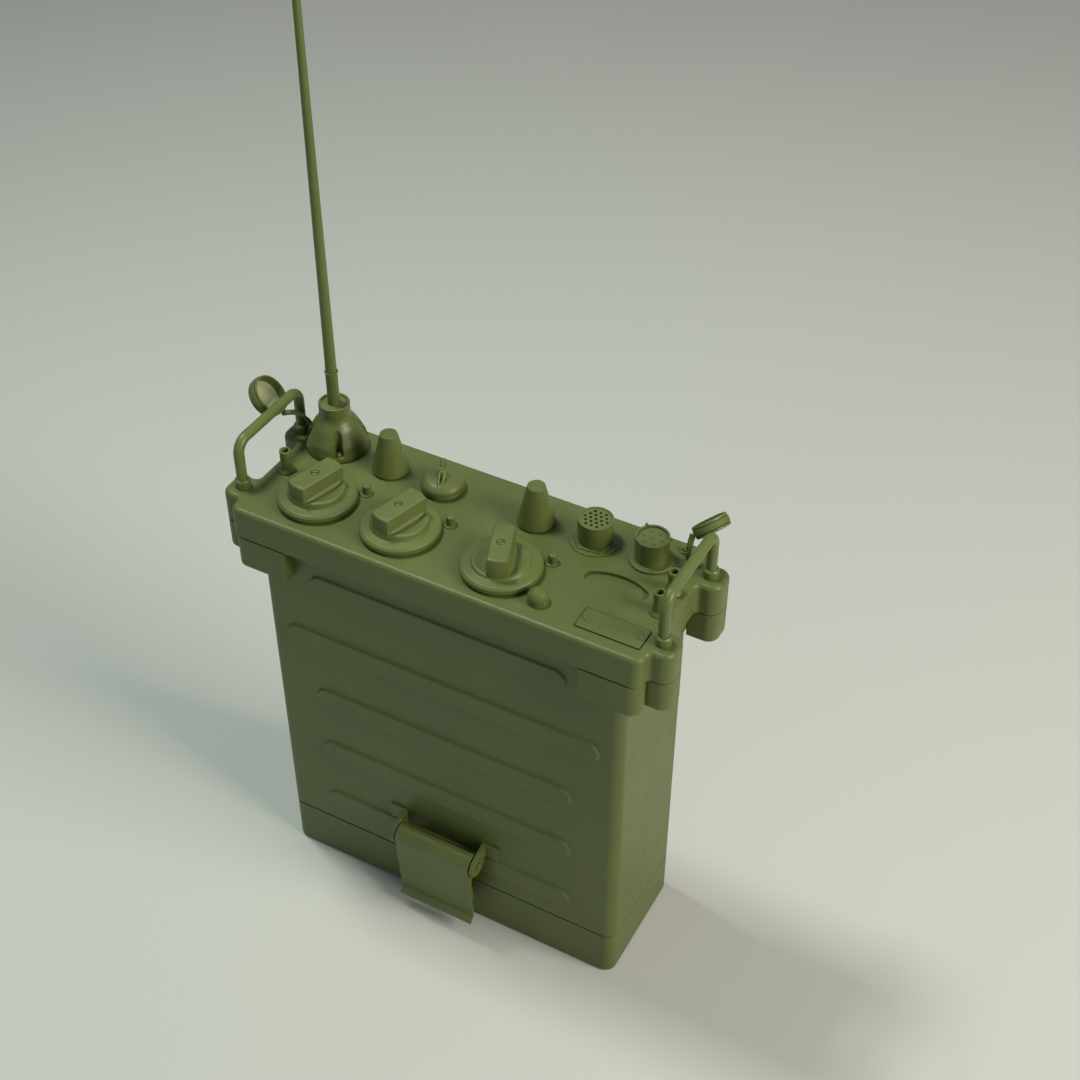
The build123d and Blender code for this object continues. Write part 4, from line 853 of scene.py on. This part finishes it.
CAP_RADIUS = {"left": 12.2, "right": 10.4}
CAP_MOUTH = {"left": (-147.0, 20.4, 29.5), "right": (125.4, 44.0, 25.8)}
CAP_FACING = {"left": (0.73, 0.20, 0.65), "right": (-0.66, 0.28, 0.70)}
TETHER = {
    "left": (
        (-127.6, 40.5, 0.8),
        (-127.8, 37.4, 0.8),
        (-128.3, 35.0, 1.5),
        (-128.8, 32.2, 5.2),
        (-129.0, 29.0, 10.8),
        (-129.6, 25.6, 16.0),
        (-132.6, 22.6, 19.3),
    ),
    "right": (
        (120.5, 38.5, 0.8),
        (120.3, 35.4, 0.8),
        (120.0, 33.6, 2.0),
        (119.6, 32.8, 6.0),
        (119.9, 32.9, 11.0),
    ),
}
CAP_DEPTH = 7.2
STRAP_HALF = (1.7, 0.9)  # half the ribbon's width and thickness


def dust_cap(side):
    """A shallow cap turned about its own leaning axis, from the floor at -depth to the mouth at 0.

    The profile has two rounded beads with a hollow between; a pale disc lies on the floor.
    """
    radius, depth = CAP_RADIUS[side], CAP_DEPTH
    mouth = np.array(CAP_MOUTH[side]) + (0, 0, PANEL_TOP)
    hollow = radius - 0.8
    profile = rounded(
        [
            (AXIS, -depth),
            (radius, -depth),
            (radius, -depth + 1.6),
            (hollow, -depth + 1.9),
            (hollow, -1.9),
            (radius, -1.6),
            (radius, 0),
            (radius - 1.1, 0),
            (radius - 1.1, -depth + 1.6),
            (AXIS, -depth + 1.6),
        ],
        (0, 0.6, 0.6, 0.25, 0.25, 0.6, 0.35, 0.3, 0.6, 0),
        7,
    )
    shell = skinned([lathe(profile, mouth, CAP_FACING[side], 96)])
    new_piece(f"{side}_dust_cap", shell, f"dust_cap_{side}", 40.0)
    edge, under, over = radius - 1.3, -depth + 1.55, -depth + 2.1
    disc = rounded([(AXIS, under), (edge, under), (edge, over), (AXIS, over)], 0.2)
    liner = skinned([lathe(disc, mouth, CAP_FACING[side], 64)])
    placed(f"{side}_cap_liner", liner, CAP_LINER, f"cap_{side}", ())


def hermite(points, knots, fine):
    """A smooth curve through points: cubic between knots, each slope taken from its neighbours."""
    slope = np.gradient(points, knots, axis=0)
    index = np.clip(np.searchsorted(knots, fine, side="right") - 1, 0, len(knots) - 2)
    gap = (knots[index + 1] - knots[index])[:, None]
    t = (fine - knots[index])[:, None] / gap
    start, end = points[index], points[index + 1]
    leave, arrive = slope[index] * gap, slope[index + 1] * gap
    return (
        (2 * t**3 - 3 * t**2 + 1) * start
        + (t**3 - 2 * t**2 + t) * leave
        + (3 * t**2 - 2 * t**3) * end
        + (t**3 - t**2) * arrive
    )


def tether(side):
    """A flat moulded strap: an eye round its screw, a ribbon on a smooth curve, and a band round the cap.

    Ribbon = path + across * wide + up * thick, where wide turns from level to the cap's axis near the cap.
    """
    radius = CAP_RADIUS[side]
    _, _, facing = axes(CAP_FACING[side])
    mouth = np.array(CAP_MOUTH[side]) + (0, 0, PANEL_TOP)
    waist = mouth - facing * CAP_DEPTH / 2
    route = np.array(TETHER[side]) + (0, 0, PANEL_TOP)
    radial = route[-1] - waist
    radial -= facing * (radial @ facing)
    radial /= np.linalg.norm(radial)
    route = np.concatenate((route, [waist + radial * (radius + 0.8)]))
    knots = np.concatenate(([0], np.cumsum(np.linalg.norm(np.diff(route, axis=0), axis=1))))
    fine = np.linspace(0, knots[-1], 90)
    path = hermite(route, knots, fine)
    along = np.gradient(path, axis=0)
    along /= np.linalg.norm(along, axis=1)[:, None]
    level = np.cross((0, 0, 1.0), along)
    level /= np.linalg.norm(level, axis=1)[:, None]
    level *= np.sign(level @ level[len(level) // 2])[:, None]
    twist = np.clip((fine / knots[-1] - 0.72) / 0.28, 0, 1)[:, None] ** 2
    end_way = facing * np.sign(facing @ level[-1])
    wide = level * (1 - twist) + end_way * twist
    wide -= along * np.einsum("ij,ij->i", wide, along)[:, None]
    wide /= np.linalg.norm(wide, axis=1)[:, None]
    thick = np.cross(along, wide)
    side_way, up_way = STRAP_HALF
    corners = [(side_way, up_way), (side_way, -up_way), (-side_way, -up_way), (-side_way, up_way)]
    corner = rounded([(0, up_way), *corners, (0, up_way)], 0.5, 4)[:-1]
    ribbon = path[:, None] + corner[None, :, :1] * wide[:, None] + corner[None, :, 1:] * thick[:, None]
    x, y, _ = TETHER[side][0]
    washer = [(1.8, 0), (1.8, 0.3), (3.3, 0.3), (3.3, 1.3), (1.8, 1.3), (1.8, 0)]
    eye = rounded(washer, (0, 0, 0.3, 0.3, 0, 0), 5)[1:-1]
    inner, outer, half = radius - 0.7, radius + 0.4, 1.7
    hoop = [(inner, 0), (inner, -half), (outer, -half), (outer, half), (inner, half), (inner, 0)]
    band = rounded(hoop, (0, 0.1, 0.35, 0.35, 0.1, 0))[:-1]
    mesh = skinned([ribbon])
    hoops = skinned([lathe(eye, (x, y, PANEL_TOP), turns=44), lathe(band, waist, facing, 96)], closed=True)
    work = bmesh.new()
    work.from_mesh(mesh)
    work.from_mesh(hoops)
    work.to_mesh(mesh)
    work.free()
    bpy.data.meshes.remove(hoops)
    new_piece(f"{side}_cap_tether", mesh, f"cap_strap_{side}", 45.0)


for cap_side in CAP_RADIUS:
    dust_cap(cap_side)
    tether(cap_side)


# ---------------------------------------------------------------- camera, light and floor
CAMERA_PLACE = (0.3886, -0.6320, 0.9305)
CAMERA_TURN = (90.0 - 41.10, 28.54, 0.175)  # pitch, heading and roll, in degrees
LAMP_AIM = (0.0, 0.0, 0.2)
LAMPS = {  # place, side, power in watts, tint
    "side": ((2.0, -0.1, 1.4), 1.0, 46.0, (1.0, 0.95, 0.82)),
    "key": ((-0.55, 0.05, 1.6), 0.25, 13.0, (0.88, 1.0, 0.88)),
    "fill": ((-0.6, -1.6, 0.6), 0.9, 1.6, (0.45, 0.84, 1.0)),
}
FLOOR_HALF = 14.0
WORLD_LIGHT, WORLD_SEEN = 0.15, 0.50


def camera():
    """The view from in front, to the right and above."""
    lens = bpy.data.cameras.new("camera")
    lens.sensor_width = 36.0
    lens.lens = 57.8
    lens.clip_end = 20.0
    view = bpy.data.objects.new("camera", lens)
    pitch, heading, roll = (math.radians(degrees) for degrees in CAMERA_TURN)
    turn = Matrix.Rotation(heading, 4, "Z") @ Matrix.Rotation(pitch, 4, "X") @ Matrix.Rotation(roll, 4, "Z")
    view.matrix_world = Matrix.Translation(CAMERA_PLACE) @ turn
    bpy.context.scene.collection.objects.link(view)
    bpy.context.scene.camera = view


def softbox(name, place, side, power, tint):
    """A square area lamp that looks at the middle of the object."""
    lamp = bpy.data.lights.new(name, "AREA")
    lamp.size = side
    lamp.energy = power
    lamp.color = tint
    holder = bpy.data.objects.new(name, lamp)
    holder.location = place
    holder.rotation_euler = (Vector(LAMP_AIM) - Vector(place)).to_track_quat("-Z", "Y").to_euler()
    bpy.context.scene.collection.objects.link(holder)


def studio():
    """A pale plain floor, three softboxes, and an even world that shows brighter than it lights."""
    mesh = bpy.data.meshes.new("floor")
    right, left = FLOOR_HALF, -FLOOR_HALF
    corners = [(left, left, 0), (right, left, 0), (right, right, 0), (left, right, 0)]
    mesh.from_pydata(corners, [], [(0, 1, 2, 3)])
    floor = bpy.data.objects.new("floor", mesh)
    shade = Shade("pale_floor")
    mesh.materials.append(shade.set(Base_Color=(0.62, 0.62, 0.60, 1.0), Roughness=0.9))
    bpy.context.scene.collection.objects.link(floor)
    for name, settings in LAMPS.items():
        softbox(name, *settings)
    world = bpy.data.worlds.new("studio")
    world.use_nodes = True
    nodes, links = world.node_tree.nodes, world.node_tree.links
    backdrop = next(n for n in nodes if n.type == "BACKGROUND")
    backdrop.inputs["Color"].default_value = (0.80, 0.86, 0.90, 1.0)
    path = nodes.new("ShaderNodeLightPath")
    seen = path.outputs["Is Camera Ray"]
    for ray in ("Is Glossy Ray", "Is Transmission Ray"):
        either = nodes.new("ShaderNodeMath")
        either.operation = "MAXIMUM"
        links.new(seen, either.inputs[0])
        links.new(path.outputs[ray], either.inputs[1])
        seen = either.outputs[0]
    strength = nodes.new("ShaderNodeMapRange")
    strength.inputs["To Min"].default_value = WORLD_LIGHT
    strength.inputs["To Max"].default_value = WORLD_SEEN
    links.new(seen, strength.inputs["Value"])
    links.new(strength.outputs["Result"], backdrop.inputs["Strength"])
    bpy.context.scene.world = world
    bpy.context.scene.view_settings.view_transform = "Standard"


camera()
studio()
